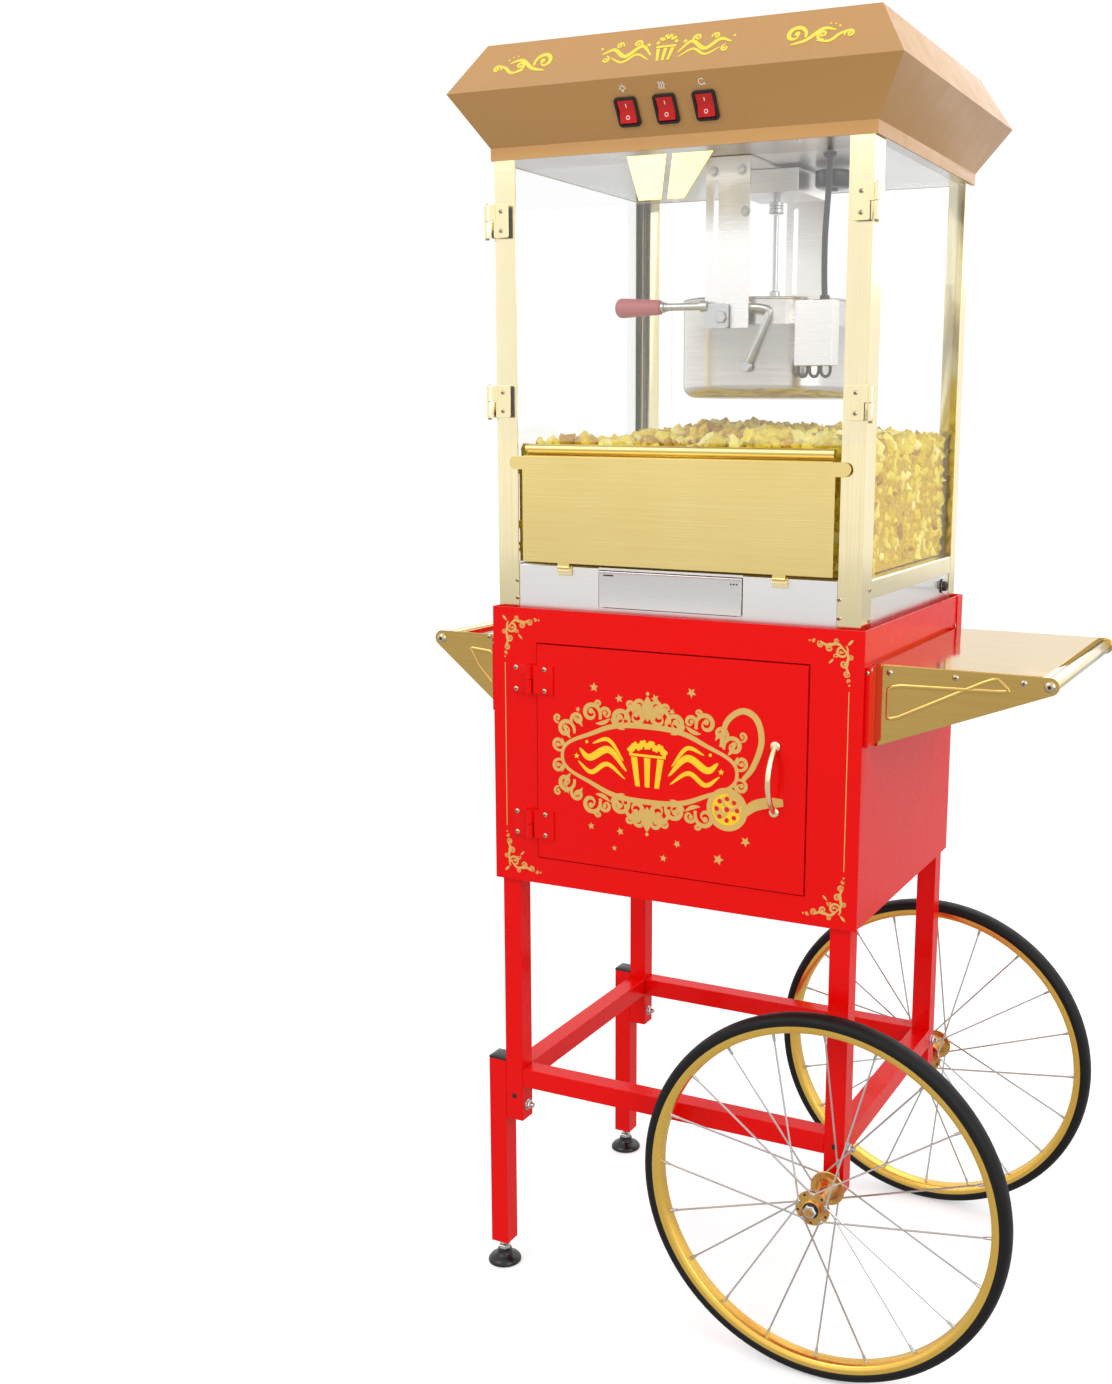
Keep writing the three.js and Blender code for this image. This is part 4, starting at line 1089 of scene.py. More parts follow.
pins = [turned([(0, -21.6), (2.6, -21.4), (2.8, -20.4), (2.0, -19.2), (1.6, 19.6), (1.2, 20.4),
                (0, 20.6)], (d["pin"], 5.6, z), "z", 16)
        for d in DOORS.values() for z in HINGE_Z]
make("front_hinge_pins", pins, "nickel", "frame")
fasteners("post_screws", "frame",
          [(x, 13, z, "y", -1, 2.8) for x in (443.8, 28) for z in (921, 900)]
          + [(x, 40, z, "x", s, 2.8) for x, s in ((470, 1), (2, -1)) for z in (930, 896)]
          + [(x, 24, z + k, "x", s, 2.6) for x, s in ((471.5, 1), (0.5, -1))
             for z in HINGE_Z for k in (-11, 11)])
print("front doors done")

# %% [markdown]
# The gate is one bent sheet. Its section runs up the face, over a short shelf and round an
# open roll, and is carried along X. Two ears lap over the posts, and two hooked tabs hang
# in clips on the base.

# %% Gate
def gate_sheet():
    """Face with two round-ended ears."""
    t = np.linspace(-np.pi / 2, np.pi / 2, 10)
    right = np.stack([447 + 8 * np.cos(t), 1064 + 8 * np.sin(t)], -1)
    left = np.stack([29 - 8 * np.cos(t), 1064 - 8 * np.sin(t)], -1)
    return np.concatenate([[(39, 945), (437, 945), (437, 1056)], right,
                           [(437, 1072), (39, 1072)], left, [(39, 1056)]])


CLIP_X = (95, 373)
roll = np.linspace(-0.42 * np.pi, 1.38 * np.pi, 28)
hem_line = [(8.7, 1058), (8.7, 1070), (9.2, 1071.9), (10.6, 1072.7), (15.5, 1072.8),
            (17.5, 1073.4), *zip(18.5 + 5.0 * np.cos(roll), 1081 + 5.0 * np.sin(roll))]
tabs = [block(x - 8, x + 8, 8.1, 9.4, 941, 950) for x in CLIP_X]
tabs += [tube(np.stack([np.linspace(x - 8, x + 8, 6), np.full(6, 9.0), np.full(6, 940.2)], -1),
              2.2, 14) for x in CLIP_X]
make("gate_sheet", [slab(gate_sheet(), 8, 9.5), slab(strip(hem_line, 0.9), 40, 433, "x"),
                    *tabs],
     "brushed_gold", "gate", ["gate"], bevel=0.3)
make("gate_hem_bar", [turned([(0, 40.5), (3.6, 40.5), (3.9, 41), (3.9, 432), (3.6, 432.5),
                              (0, 432.5)], (0, 18.5, 1081), "x", 20)],
     "polished_gold", "gate")
make("gate_clips", [block(x - 9.5, x + 9.5, 11.8, 13.2, 930, 942.5) for x in CLIP_X]
     + [block(x - 9.5, x + 9.5, 6.2, 12.6, 935.6, 936.8) for x in CLIP_X],
     "polished_gold", "frame", bevel=0.3)
print("gate done")

# %% [markdown]
# ## Hood and switches
# The hood keeps its folded shape from the frame. The switches sit on its lower slope, so
# their pieces are drawn flat and turned onto it by one matrix.

# %% Hood and rocker switches
SLOPE_OUT, SLOPE_UP = 36.5, 57.0
TILT = math.atan2(SLOPE_OUT, SLOPE_UP)


def on_slope(x, up=0.0):
    """Matrix from the flat drawing (x right, -y outward, z up) to the hood's lower slope."""
    share = 0.443 + up / math.hypot(SLOPE_OUT, SLOPE_UP)
    place = Matrix.Translation((x, 12 - SLOPE_OUT * share, 1428 + SLOPE_UP * share))
    return place @ Matrix.Rotation(TILT, 4, "X")


soften("canopy", "hood_paint", "frame", 0.9)
SWITCH_X = (187.3, 234.8, 282.3)
ring = rounded(-12.1, 12.1, -15.1, 15.1, 2.6)
ring_path = np.insert(ring, 1, -1.4, 1)
bezel_section = np.array([(-1.5, -1.5), (1.6, -1.5), (1.6, 0.4), (0.6, 1.5), (-1.0, 1.5),
                          (-1.5, 1.0)])
flat_bezel = swept(ring_path, bezel_section, (0, 1, 0), closed=True)
make("switch_bezels", [moved(flat_bezel, on_slope(x)) for x in SWITCH_X], "black_gloss",
     "frame", bevel=0.2)
for i, x in enumerate(SWITCH_X, 1):
    soften(f"rocker_{i}", "lens_red", f"rocker_{i}", 0.5)
print("hood and", len(SWITCH_X), "switches")

# %% [markdown]
# ## Kettle and drive
# The kettle is a spun steel pan: a closed profile with a rounded foot, a thin wall and a
# rolled rim. Half of its lid is fixed, and the other half lifts on a rolled hinge.

# %% Kettle pan and lids
KETTLE_AXIS = (280, 215, 0)


def kettle_profile():
    """Outer wall, quarter-circle foot of radius 15, inner wall and a rolled rim."""
    a = np.linspace(-np.pi / 2, 0, 10)
    outer = np.stack([97 + 15 * np.cos(a), 1158 + 15 * np.sin(a)], -1)
    inner = np.stack([97 + 13 * np.cos(a), 1158 + 13 * np.sin(a)], -1)[::-1]
    b = np.linspace(-0.5 * np.pi, np.pi, 12)
    rim = np.stack([112.2 + 1.5 * np.cos(b), 1257.3 + 1.5 * np.sin(b)], -1)
    return np.concatenate([[(0, 1143), (60, 1143.4)], outer, [(112, 1225), (112.6, 1227),
                           (112.6, 1229), (112, 1231)], rim, inner, [(0, 1145)]])


def half_disc(x, radius, low, high, side):
    """Flat half disc beside x, with a finger tab's worth of straight edge."""
    a = np.linspace(-np.pi / 2, np.pi / 2, 40)
    cx, cy, _ = KETTLE_AXIS
    arc = np.stack([cx + side * radius * np.cos(a), cy + radius * np.sin(a)], -1)
    arc = arc[(arc[:, 0] - x) * side > 0]
    return slab(np.concatenate([arc, [(x, arc[-1, 1]), (x, arc[0, 1])]]), low, high, "z")


make("kettle_pan", [turned(kettle_profile(), KETTLE_AXIS, "z", 96)], "kettle_steel",
     "kettle", ["kettle_pot"])
make("kettle_fixed_lid", [half_disc(275.5, 110.6, 1257.5, 1258.7, 1),
                          *[block(275.0, 276.2, y, y + 91, 1257.6, 1262.2)
                            for y in (112, 227)]],
     "kettle_steel", "kettle", bevel=0.3)
make("kettle_flap", [half_disc(269.5, 112.6, 1259.4, 1260.8, -1),
                     turned([(0, 116), (1.3, 116), (1.5, 117), (1.5, 314), (1.3, 315),
                             (0, 315)], (270, 0, 1260.7), "y", 14),
                     block(163.5, 176, 203, 227, 1259.6, 1260.9),
                     slab([(163.5, 1260), (160.6, 1263.4), (159.8, 1262.6), (162.6, 1259.6)],
                          203, 227)],
     "kettle_steel", "kettle_lid", ["kettle_lid"], bevel=0.3)
TRUNNION = (268, 0, 1234)
trunnions = [disc(5, a, b, TRUNNION, "y") for a, b in ((74.3, 108), (322, 347.7))]
washer = [(5.1, 86.8), (9, 86.8), (9, 86.8 + 1.2), (5.1, 86.8 + 1.2), (5.1, 86.8)]
make("kettle_trunnions", trunnions + [hexagon(*TRUNNION, "y", 76.8, 73.6, 7.4)],
     "bright_zinc", "kettle", bevel=0.2)
make("trunnion_washers", [turned(washer, TRUNNION, "y", 28)],
     "bright_zinc", "kettle", bevel=0.2)

# %% [markdown]
# The handle is a bent plate on the front trunnion with a chrome rod, two collars and a
# tapered red grip. The grip's radius grows along its length and closes in a round nose.

# %% Tilt handle and grip
plate = slab(rounded(245.2, 275.8, 1221.2, 1249.8, 3), 77.2, 81.8)
ROD = (0, 79.5, 1247)
rod = turned([(0, 190.2), (4.3, 190.4), (4.3, 250), (0, 250)], ROD, "x", 24)
bosses = [disc(r, a, b, ROD, "x")
          for r, a, b in ((6.2, 190.3, 194), (5.2, 195.5, 197.5), (6.4, 241, 250))]
bridge = block(236, 256, 77.6, 81.4, 1250.4, 1252.0)
make("tilt_handle", [plate, rod, *bosses, bridge], "bright_zinc", "kettle",
     ["kettle_handle"], bevel=0.35)
s = np.linspace(0, 1, 22)
grip_r = 8.4 + 3.1 * s**0.9
nose = np.linspace(0, np.pi / 2, 9)
grip = [(0, 189.7), (7.4, 189.7), *zip(grip_r, 188.6 - 50 * s),
        *zip(11.5 * np.cos(nose) ** 0.55, 138.6 - 7.6 * np.sin(nose))]
make("tilt_grip", [turned(grip, ROD, "x", 48)], "grip_red", "kettle",
     ["handle_grip"], angle=50)
print("handle and grip")

# %% [markdown]
# The hanger is a slotted steel plate at the front and back of the pan. On the front one a
# bright bent rod works as the latch. The rod is a round section along a smooth curve.

# %% Hanger, latch rod and lead clip
soften("kettle_hanger", "stainless", "frame", 0.3)
latch = through([(292, 92, 1246.4), (310, 92, 1245.4), (321, 92, 1242.6), (322.6, 92, 1238),
                 (318, 92, 1226), (308, 92, 1206), (294.4, 92, 1178.6)], 40)
make("latch_rod", [tube(latch, 4.1, 18, up=(0, 1, 0)),
                   turned([(0, 87.6), (5.8, 87.6), (6.4, 88.4), (6.4, 95.2), (5.6, 96.2),
                           (0, 96.2)], (294, 0, 1178), "y", 28)],
     "bright_zinc", "frame")
NUTS = [(289, 0, 1398), (254, 0, 1398), (294, 0, 1352)]
make("hanger_nuts", [hexagon(*nut, "y", 83.9, 80.6, 4.6) for nut in NUTS]
     + [disc(6, 83.9, 83.1, nut, "y", 20) for nut in NUTS],
     "bright_zinc", "frame", bevel=0.2)
print("hanger done")

# %% [markdown]
# The drive hangs under the ceiling: a folded housing, a dark motor can beside it, and a
# thin shaft. The stirrer's long shaft stands on the kettle and meets it end to end, so the
# kettle can swing away.

# %% Drive and stirrer
soften("gear_motor", "stainless", "frame", 0.6)
make("motor_can", [turned([(0, 1411), (21, 1411), (22, 1410), (22, 1394), (20.4, 1391.6),
                           (17, 1390.6), (0, 1390.6)], (352, 217, 0), "z", 48),
                   turned([(0, 1391), (6, 1391), (6, 1388.6), (5, 1387.8), (0, 1387.8)],
                          (352, 217, 0), "z", 24)],
     "black_gloss", "frame")
make("drive_shaft_round", [turned([(0, 1364.5), (8, 1364.5), (9, 1365.5), (9, 1370), (8.2, 1371),
                                   (8.2, 1373), (9, 1374), (9, 1377.4), (8.2, 1378), (4, 1378.2),
                                   (4, 1387), (0, 1387)], KETTLE_AXIS, "z", 32)],
     "bright_zinc", "drive_shaft", ["drive_shaft"])
shaft = [(0, 1148.2), (4, 1148.2), (4, 1260.6), (8, 1260.6), (8.6, 1261.4), (8.6, 1265),
         (8, 1266), (6.6, 1266.2), (6.6, 1272), (6, 1272.6), (3.3, 1273), (3.3, 1362.2),
         (2.6, 1362.9), (0, 1362.9)]
blade = [(-79, 1149), (-30, 1149), (-30, 1160), (-34, 1162), (-75, 1162), (-79, 1158)]
make("stirrer_round", [turned(shaft, KETTLE_AXIS, "z", 28),
                       disc(2.9, 200.5, 359.5, (0, 215, 1151.2), "x", 16),
                       *[slab([(KETTLE_AXIS[0] + s * x, z) for x, z in blade], 214, 216)
                         for s in (1, -1)]],
     "bright_zinc", "stirrer", ["stirrer"])
print("drive done")

# %% [markdown]
# The kettle's junction box is a small folded cover. Its wires loop out below it, and a
# sleeved lead comes down from the ceiling. The lead hangs between the ceiling and the
# kettle and is tied to no body.

# %% Junction box, wire loops and lead
soften("kettle_junction_box", "stainless", "kettle", 0.8)
loops = []
for x in (357, 371, 385):
    a = np.linspace(-0.1 * np.pi, 1.1 * np.pi, 22)
    loops.append(tube(np.stack([x + 5.6 * np.cos(a), 113.5 + 2 * np.sin(2 * a),
                                1180 - 13 * np.abs(np.sin(a)) ** 0.8 * np.sign(np.sin(a))], -1),
                      1.9, 10, up=(0, 1, 0)))
make("wire_loops", loops, "lead_sleeve", "kettle")
make("lead_grommets", [turned([(3.7, 1253.2), (6.2, 1253.2), (6.4, 1254), (5.2, 1258.4),
                               (3.7, 1258.8), (3.7, 1253.2)], (382, 113, 0), "z", 24)],
     "black_plastic", "kettle")
make("ceiling_grommet", [turned([(3.7, 1414), (8, 1414), (7.4, 1411.6), (5, 1409.4),
                                 (3.7, 1409.2), (3.7, 1414)], (384, 113, 0), "z", 24)],
     "black_plastic", "frame")
LEAD = [(384, 113, 1413.7), (384, 113, 1395), (383, 113, 1370), (381.5, 113, 1345),
        (380.5, 113, 1320), (380.5, 113, 1295), (381, 113, 1275), (382, 113, 1253.5)]
lead = make("kettle_lead_sleeve", [tube(through(LEAD, 30), 3.5, 16, up=(0, 1, 0))],
            "lead_sleeve", None, ["kettle_lead"])
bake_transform(lead)
print("lead done")

# %% [markdown]
# ## Popcorn
# Only the kernels that can be seen are made: a layer behind each pane and one over the
# top, about 1250 in all. Each is one of eight puffs with 80 faces: a ball whose radius
# swells in lobes. A rough heap under them closes the gaps.

# %% Popcorn puffs
rng = np.random.default_rng(7)


def puff(seed):
    """Ball of 42 points; r = 0.52 + 0.62 c^5, with c the largest cosine to six lobes."""
    g = np.random.default_rng(seed)
    bm = bmesh.new()
    bmesh.ops.create_icosphere(bm, subdivisions=2, radius=1)
    v = np.array([p.co for p in bm.verts])
    f = [[p.index for p in face.verts] for face in bm.faces]
    bm.free()
    lobes = g.normal(size=(6, 3))
    lobes /= np.linalg.norm(lobes, axis=1, keepdims=True)
    near = np.clip(v @ lobes.T, 0, 1)
    r = 0.52 + 0.62 * (near**5).max(1) + 0.07 * g.normal(size=len(v))
    hull = np.clip(v @ -lobes.mean(0) * 2.4, 0, 1)
    return v * r[:, None], f, hull


PUFFS = [puff(seed) for seed in range(8)]


def heap_top(x, y):
    """Low dome with slow waves, and a hollow at the front where the tilted grip comes."""
    u, v = (x - 236) / 452, (y - 212) / 372
    near = np.clip((170 - y) / 70, 0, 1)
    hollow = 23 * np.exp(-((x - 212) / 75) ** 2) * near * near * (3 - 2 * near)
    dome = 8 * u - 62 * u * u - 30 * np.minimum(u, 0) ** 2 - 12 * v * v
    return 1102 + 5 * np.cos(7 * u) * np.cos(5 * v) + dome - hollow


def jittered(a0, a1, b0, b1, step=18.5):
    """Hexagonal rows of points with a little noise, about one kernel's width apart."""
    a, b = np.meshgrid(np.arange(a0, a1, step), np.arange(b0, b1, step * 0.87), indexing="ij")
    a = a + (np.arange(a.shape[1]) % 2) * step / 2
    p = np.stack([a, b], -1).reshape(-1, 2)
    return p + rng.normal(size=p.shape) * step * 0.16


def kernel_places():
    """Centres over the top and behind the panes, kept inside the case."""
    top = jittered(22, 450, 38, 386)
    z = heap_top(*top.T) - 4 + rng.normal(size=len(top)) * 2.6
    parts = [np.column_stack([top, z])]
    for x in (24.0, 448.0):
        side = jittered(38, 388, 956, 1090)
        parts.append(np.column_stack([np.full(len(side), x), side]))
    for y in (39.0, 385.0):
        wall = jittered(24, 450, 956, 1090)
        parts.append(np.column_stack([wall[:, 0], np.full(len(wall), y), wall[:, 1]]))
    p = np.concatenate(parts)
    p[:, 0] = np.clip(p[:, 0], 27, 445)
    p[:, 1] = np.clip(p[:, 1], 42, 382)
    return p[p[:, 2] < heap_top(p[:, 0], p[:, 1]) + 1]


def kernels(places):
    """Every kernel is a puff times a random turn and size, moved to its place."""
    n = len(places)
    q = rng.normal(size=(n, 4))
    q /= np.linalg.norm(q, axis=1, keepdims=True)
    w, x, y, z = q.T
    turn = np.stack([1 - 2 * (y * y + z * z), 2 * (x * y - w * z), 2 * (x * z + w * y),
                     2 * (x * y + w * z), 1 - 2 * (x * x + z * z), 2 * (y * z - w * x),
                     2 * (x * z - w * y), 2 * (y * z + w * x), 1 - 2 * (x * x + y * y)],
                    -1).reshape(n, 3, 3)
    size = rng.uniform(11.4, 15.4, n)
    tone = rng.beta(1.6, 1.8, n)
    parts, colour = [], []
    for k, (v, f, hull) in enumerate(PUFFS):
        mine = np.arange(n) % len(PUFFS) == k
        body = np.einsum("nij,vj->nvi", turn[mine], v) * size[mine, None, None]
        body += places[mine][:, None]
        count = mine.sum()
        faces = (np.array(f)[None] + (np.arange(count) * len(v))[:, None, None]).reshape(-1, 3)
        parts.append((body.reshape(-1, 3), faces.tolist()))
        shade = np.repeat(tone[mine], len(v))
        brown = np.tile(hull, count) * np.repeat(rng.uniform(size=count) < 0.55, len(v))
        colour.append(np.stack([shade, brown, 0 * shade, 1 + 0 * shade], -1))
    return parts, np.concatenate(colour)


def heap_core():
    """Closed block under the kernels; its top follows the heap, 12 mm lower."""
    u, v = np.meshgrid(np.linspace(0, 1, 40), np.linspace(0, 1, 32), indexing="ij")
    x, y = 19 + 434 * u, 35 + 354 * v
    z = heap_top(x, y) - 12 + 2.5 * np.sin(x * 0.31) * np.cos(y * 0.37)
    return shell(np.stack([x, y, z], -1), np.stack([x, y, 0 * z + 942.5], -1))


PLACES = kernel_places()
corn_parts, corn_tones = kernels(PLACES)
make("popcorn_kernels", corn_parts, "popped_corn", "frame", ["popcorn"],
     angle=60, colour=corn_tones)
core = heap_core()
make("popcorn_core", [core], "popped_corn", "frame", angle=60,
     colour=np.tile((0.75, 0.35, 0, 1), (len(core[0]), 1)))
print("kernels:", len(PLACES))

# %% [markdown]
# ## Printed ornaments
# Scrolls, stars and pinstripes are printed on the sheet. Each is a very thin raised band or
# plate, so it keeps a crisp edge. A curl is a spiral band that starts wide, narrows, and
# ends in a dot. The motifs are plain flourishes and a tub of popcorn.

# %% Bands, curls, stars and leaves
INK = 0.22


def band(path, widths):
    """Flat band: each path point (x, z) moves half the width along the path's normal."""
    p = np.asarray(path, float)
    d = np.gradient(p, axis=0)
    d /= np.linalg.norm(d, axis=1, keepdims=True)
    n = np.stack([-d[:, 1], d[:, 0]], -1) * (np.broadcast_to(widths, len(p)) / 2)[:, None]
    sides = [(p + n, -INK), (p - n, -INK), (p - n, 0.02), (p + n, 0.02)]
    v = np.stack([np.insert(q, 1, y, 1) for q, y in sides], 1).reshape(-1, 3)
    m = len(p)
    return v, quads(m, 4, wrap_cols=True) + [[0, 1, 2, 3], [4 * m - 4 + k for k in range(4)]]


def dot(x, z, r):
    """Printed disc."""
    return slab(circle(r, 20) + (x, z), -INK, 0.02)


def curl(x, z, r, start, turns, width, hand=1):
    """Spiral of radius r (1 - 0.8 s^0.85) from the start angle, which ends in a dot."""
    s = np.linspace(0, 1, max(14, int(26 * turns)))
    a = math.radians(start) + hand * 2 * np.pi * turns * s
    q = r * (1 - 0.8 * s**0.85)
    path = np.stack([x + q * np.cos(a), z + q * np.sin(a)], -1)
    wide = width * (0.35 + 0.65 * np.sin(np.pi * np.minimum(s * 1.15 + 0.1, 1)) ** 0.8)
    return [band(path, wide), dot(*path[-1], width * 0.62)]


def leaf(x, z, length, width, angle, bend=0.0):
    """Leaf along a bent line; its width follows sin(pi s) ^ 0.8."""
    s = np.linspace(0, 1, 15)
    a = math.radians(angle) + bend * (s - 0.5)
    step = np.stack([np.cos(a), np.sin(a)], -1) * length / 14
    path = np.cumsum(step, 0) - step[0] + (x, z)
    return band(path, np.maximum(width * np.sin(np.pi * s) ** 0.8, 0.15))


def star(x, z, r, turn=0.0):
    """Five-pointed star: radius swaps between r and 0.45 r."""
    a = np.pi / 2 + turn + np.arange(10) * np.pi / 5
    q = np.where(np.arange(10) % 2, 0.45 * r, r)
    return slab(np.stack([x + q * np.cos(a), z + q * np.sin(a)], -1), -INK, 0.02)


def sweep_band(points, width, taper=0.25, count=40):
    """Band along a smooth curve, thin at its ends and full in its middle."""
    s = np.linspace(0, 1, count)
    line = through(np.insert(np.asarray(points, float), 1, 0, 1), count)[:, [0, 2]]
    return band(line, width * (taper + (1 - taper) * np.sin(np.pi * s) ** 0.7))


def mirrored(parts, x=None, z=None):
    """The same parts mirrored about x, about z, or both."""
    out = []
    for v, f in parts:
        w = v.copy()
        if x is not None:
            w[:, 0] = 2 * x - w[:, 0]
        if z is not None:
            w[:, 2] = 2 * z - w[:, 2]
        out.append((w, f))
    return out


def placed(parts, y):
    """Printed parts on a face at y. Each is a little higher than the last, since two faces
    at one height would flicker black where they cross."""
    return [(v * (1, 1 + 0.008 * k, 1) + (0, y, 0), f) for k, (v, f) in enumerate(parts)]


print("a curl has", len(curl(0, 0, 9, 0, 1, 3)[0][1]), "faces")

# %% [markdown]
# The door's badge is a scrolled frame. A closed band whose half axes are 108 and 43 mm
# waves in and out, and curls of many sizes stand on it. One quarter is listed and
# mirrored. A rosette and a plain loop break the symmetry at the right.

# %% Badge frame
BADGE, ROSETTE, DOOR_FACE = (214.0, 711.0), (318, 668), -1.5


def cartouche():
    """Superellipse with half axes 108 and 43; a wave of 7.5% goes round it 4 times."""
    t = np.linspace(0, 2 * np.pi, 161)
    c, s = np.cos(t), np.sin(t)
    wave = 1 + 0.075 * np.cos(4 * t)
    x = BADGE[0] + 108 * np.sign(c) * np.abs(c) ** 0.75 * wave
    z = BADGE[1] + 43 * np.sign(s) * np.abs(s) ** 0.8 * wave
    return band(np.stack([x, z], -1), 4.2 + 2.4 * np.abs(s) ** 3)


QUARTER = [(-15, 57, 13, 200, 1.3, 4.6, -1), (-37, 52, 12, -40, 1.35, 4.4, 1),
           (-10, 71, 8, 250, 1.1, 3.6, -1), (-24, 70, 6, -70, 1.1, 3.0, 1),
           (-56, 57, 8, 230, 1.2, 3.4, -1), (-76, 56, 12, -30, 1.35, 4.4, 1),
           (-66, 68, 5, 250, 1.0, 2.6, -1), (-95, 46, 9, 250, 1.2, 3.6, -1),
           (-111, 33, 11, -20, 1.35, 4.2, 1), (-122, 46, 5.5, 280, 1.0, 2.6, -1),
           (-121, 14, 8, 300, 1.2, 3.4, -1)]


def badge_quarter():
    """Curls and leaves of the upper left quarter."""
    parts = []
    for dx, dz, r, start, turns, width, hand in QUARTER:
        parts += curl(BADGE[0] + dx, BADGE[1] + dz, 1.14 * r, start, turns, 1.25 * width, hand)
    for dx, dz, length, width, angle, bend in (
            (-30, 40, 24, 5.5, 150, -0.9), (-70, 44, 22, 5, 20, 0.9), (-47, 44, 20, 5, 60, 1.0),
            (-88, 38, 18, 5, 140, 0.9), (-104, 22, 18, 5, 120, -0.8), (-6, 50, 22, 6, 110, 0.5),
            (-114, 6, 16, 4, 100, 0.6), (-20, 60, 16, 4, 60, -0.8)):
        parts.append(leaf(BADGE[0] + dx, BADGE[1] + dz, length, width, angle, bend))
    return parts


quarter = badge_quarter()
badge = [slab(circle(26, 48) + ROSETTE, -INK, 0.02), cartouche(), *quarter,
         *mirrored(quarter, x=BADGE[0]), *mirrored(quarter, z=BADGE[1]),
         *mirrored(quarter, x=BADGE[0], z=BADGE[1])]
for s in (1, -1):
    badge.append(leaf(BADGE[0], BADGE[1] + s * 52, 31, 13, s * 90))
    badge.append(dot(BADGE[0], BADGE[1] + s * 86, 2.2))
badge.append(sweep_band([(310, 742), (316, 772), (336, 787), (354, 778), (360, 752),
                         (350, 722), (338, 706)], 7.5, 0.7))
badge.append(sweep_band([(338, 664), (352, 676), (370, 682), (388, 684)], 13, 0.6))
STARS = [(142, 799, 6), (176, 788, 5.4), (224, 792, 5.6), (271, 803, 6.4), (246, 778, 4.2),
         (120, 770, 3.6), (104, 668, 5.6), (138, 626, 4.6), (178, 624, 5), (254, 618, 5),
         (342, 632, 6.4), (308, 606, 7), (236, 598, 4.6), (170, 602, 3.4)]
badge += [star(x, z, r, 0.2 * k) for k, (x, z, r) in enumerate(STARS)]
make("door_badge_gold", placed(badge, DOOR_FACE), "print_gold", "cabinet_door")
print("badge parts:", len(badge))

# %% [markdown]
# In the middle of the badge stands a striped tub of popcorn between two waved wings, all
# of them plain shapes. The rosette has a yellow disc with eight red dots round a ninth.

# %% Badge centre
def tub(x, z, wide, tall):
    """Tub that narrows downwards in five stripes, with puffs over its rim."""
    top, low, parts = wide / 2, wide * 0.36, []
    for k in (0, 2, 4):
        a, b = -1 + 0.4 * k, -1 + 0.4 * (k + 1) - 0.02
        parts.append(slab([(x + a * low, z), (x + b * low, z), (x + b * top, z + tall),
                           (x + a * top, z + tall)], -INK - 0.1, 0.02))
    parts.append(slab([(x - top * 1.1, z + tall + 1), (x + top * 1.1, z + tall + 1),
                       (x + top * 1.1, z + tall + 4), (x - top * 1.1, z + tall + 4)],
                      -INK - 0.1, 0.02))
    for k in range(9):
        a = k * 0.7
        px = x + (k - 4) * top * 0.25
        pz = z + tall + 9 + 5.5 * math.cos((k - 4) * 0.42) + (k % 2) * 3
        t = np.linspace(0, 2 * np.pi, 30, endpoint=False)
        q = top * 0.2 * (1 + 0.16 * np.cos(4 * t + a))
        parts.append(slab(np.stack([px + q * np.cos(t), pz + q * np.sin(t)], -1),
                          -INK - 0.02 * k - 0.1, 0.02))
    return parts


def beside(s, points):
    """Points (a, z) at a distance s * a to one side of the badge's middle."""
    return [(BADGE[0] + s * a, z) for a, z in points]


centre = tub(BADGE[0], 683, 44, 36)
for s in (-1, 1):
    centre += [sweep_band(beside(s, points), width, 0.15) for points, width in (
        ([(28, 700), (52, 724), (78, 712), (92, 722)], 9),
        ([(30, 690), (54, 706), (76, 694), (94, 706)], 6),
        ([(32, 712), (52, 736), (74, 730)], 5))]
    centre += [star(BADGE[0] + s * 96, 712, 4), dot(BADGE[0] + s * 82, 731, 2)]
centre += [slab(circle(19, 40) + ROSETTE, -INK - 0.12, 0.02)]
make("door_badge_yellow", placed(centre, DOOR_FACE), "print_yellow", "cabinet_door")
rx, rz = ROSETTE
petals = [dot(rx + 13 * math.cos(a), rz + 13 * math.sin(a), 2.9)
          for a in np.arange(8) / 8 * 2 * np.pi] + [dot(rx, rz, 3.2)]
raised = [shifted(p, (0, -0.32, 0)) for p in petals]
make("door_badge_rosette", placed(raised, DOOR_FACE), "print_red", "cabinet_door")
print("badge centre parts:", len(centre))

# %% [markdown]
# Each corner of the front carries the same scroll: two arms that run along the edges and
# a spiral between them. It is drawn once for the upper left corner and mirrored.

# %% Corner scrolls and pinstripes
def corner_scroll():
    """Arms and curls of the upper left corner, from its outer point (16, 876)."""
    x, z = 16.0, 876.0
    parts = [sweep_band([(x + 8, z - 9), (x + 16, z - 3), (x + 28, z - 5), (x + 37, z - 1)], 3.2),
             sweep_band([(x + 9, z - 8), (x + 3, z - 16), (x + 5, z - 28), (x + 1, z - 37)], 3.2)]
    for cx, cz, r, start, turns, width, hand in (
            (11, -11, 8, 130, 1.5, 2.6, 1), (25, -8, 5, 100, 1.2, 2.0, -1),
            (8, -25, 5, 170, 1.2, 2.0, 1), (36, -4.5, 4, 60, 1.2, 1.7, -1),
            (4.5, -36, 4, 200, 1.2, 1.7, 1), (17, -17, 3.4, -30, 1.0, 1.4, 1),
            (44, -1.5, 2.6, 150, 1.0, 1.3, -1), (1.5, -44, 2.6, -60, 1.0, 1.3, 1),
            (18, 0, 3, 200, 1.0, 1.4, -1), (0, -18, 3, 70, 1.0, 1.4, 1)):
        parts += curl(x + cx, z + cz, r, start, turns, width, hand)
    parts += [leaf(x + 4, z - 4, 9, 3, 135), dot(x, z, 1.5), dot(x + 49, z - 1, 1.1),
              dot(x + 1, z - 49, 1.1), leaf(x + 20, z - 20, 8, 2.4, -45)]
    return parts


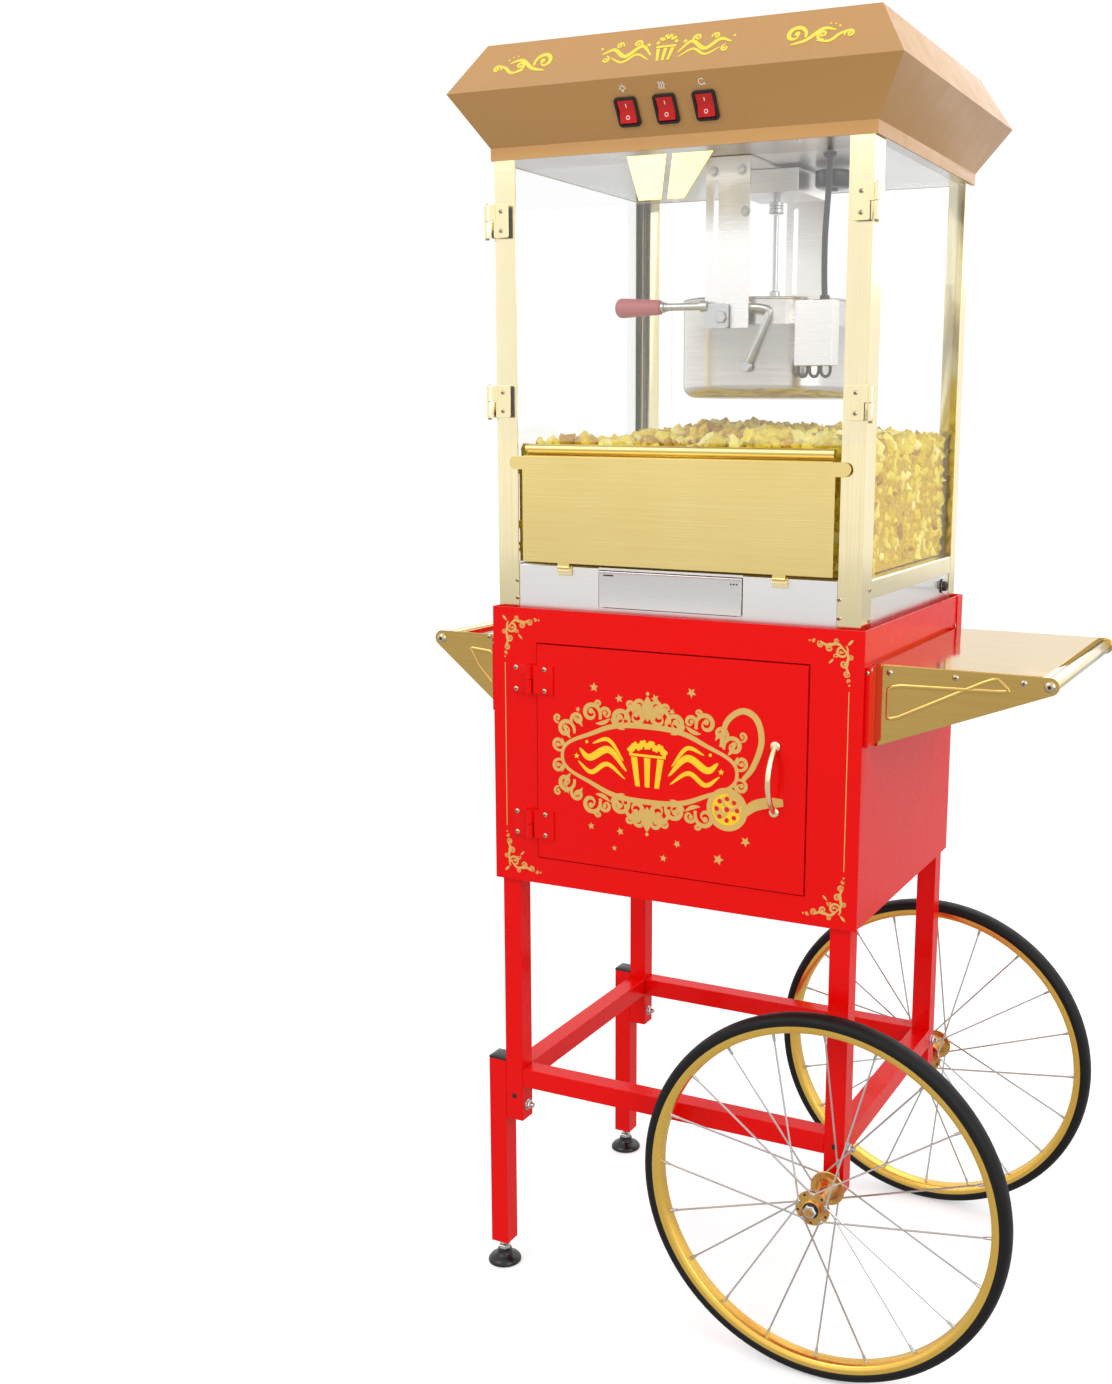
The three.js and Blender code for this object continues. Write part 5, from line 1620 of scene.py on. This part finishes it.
corner = corner_scroll()
MIDDLE_X, MIDDLE_Z = 240.0, 715.5
scrolls = [*corner, *mirrored(corner, x=MIDDLE_X), *mirrored(corner, z=MIDDLE_Z),
           *mirrored(corner, x=MIDDLE_X, z=MIDDLE_Z)]
for x in (17.0, 463.0):
    scrolls.append(band([(x, 612), (x, 820)], 0.9))
make("front_scrolls", placed(scrolls, 0.0), "print_gold", "frame")
print("scroll parts:", len(scrolls))

# %% [markdown]
# The hood carries two side flourishes and a wide one with the tub on its upper slope, and a
# plain pictogram above each switch: a lamp, heat and a turning arrow. The rockers carry
# the usual line and ring.

# %% Hood print and switch marks
def flourish(x):
    """A large hook, a waved arm and two smaller spirals, about 84 mm wide."""
    return [*curl(x + 28, 1, 13, 200, 1.15, 5.0, -1), *curl(x - 3, -2, 7, 250, 1.2, 3.4, 1),
            *curl(x - 33, -4, 6, -20, 1.2, 3.0, 1),
            sweep_band([(x + 31, -12), (x + 14, -7), (x - 2, 6), (x - 17, 3)], 4.6),
            sweep_band([(x + 3, -9), (x - 12, -11), (x - 22, -3), (x - 34, 2)], 3.8),
            dot(x - 20, 8, 1.3), dot(x - 15, 11, 1.1), dot(x - 9, 12.5, 1.0)]


wide = [*tub(0, -15, 22, 17)]
for s in (-1, 1):
    half = [sweep_band([(16, -6), (30, 8), (48, -4), (64, 7), (78, 2)], 5.0),
            sweep_band([(18, -12), (34, -3), (50, -12), (66, -4)], 3.2),
            *curl(36, 12, 6, 250, 1.2, 2.8, -1), *curl(58, 12, 5, 200, 1.2, 2.4, -1),
            *curl(72, -6, 5, 90, 1.2, 2.4, 1), dot(80, 10, 1.6), star(22, 9, 3.4)]
    wide += half if s > 0 else mirrored(half, x=0)
UPPER = (Matrix.Translation((0, -6.75, 1513.5)) @ Matrix.Rotation(-math.atan2(35.5, 57), 4, "X"))
prints = [shifted(p, (234, 0, 0)) for p in wide] + flourish(54)
prints += mirrored(flourish(60), x=236.5)
make("hood_print", [moved(p, UPPER) for p in placed(prints, 0)],
     "print_pale", "frame")


def ring_mark(x, z, r, width, a0=0.0, a1=360.0):
    """Printed arc of a circle."""
    t = np.radians(np.linspace(a0, a1, 28))
    return band(np.stack([x + r * np.cos(t), z + r * np.sin(t)], -1), width)


lamp_mark = [ring_mark(0, 1, 2.4, 0.7), band([(-1.1, -2.6), (1.1, -2.6)], 0.7)] + [
    band([(3.5 * math.cos(a), 1 + 3.5 * math.sin(a)), (4.9 * math.cos(a), 1 + 4.9 * math.sin(a))],
         0.6) for a in np.radians((0, 45, 90, 135, 180))]
z = np.linspace(-3.5, 4.5, 22)
heat_mark = [band(np.stack([x + 0.7 * np.sin(z * 1.3), z], -1), 0.75) for x in (-2.8, 0, 2.8)]
turn_mark = [ring_mark(0, 0.5, 3.2, 0.8, 40, 330),
             slab([(3.6, -0.4), (1.2, -1.8), (4.2, -3.2)], -INK, 0.02)]
marks = [moved(p, on_slope(x, 25)) for x, mark in
         zip(SWITCH_X, (lamp_mark, heat_mark, turn_mark)) for p in mark]
make("switch_pictograms", marks, "print_white", "frame")
TIP = Matrix.Translation((0, 4, 0)) @ Matrix.Rotation(math.radians(-7), 4, "X")
for i, x in enumerate(SWITCH_X, 1):
    faces = [band([(0, 4.2), (0, 8.4)], 0.9), ring_mark(0, -6.4, 1.9, 0.7)]
    sloped = [(np.stack([v[:, 0], v[:, 1] - 5.4 - 0.208 * np.abs(v[:, 2]), v[:, 2]], -1), f)
              for v, f in faces]
    make(f"rocker_{i}_marks", [moved(p, on_slope(x) @ TIP) for p in sloped], "print_white",
         f"rocker_{i}")
print("hood print parts:", len(prints))
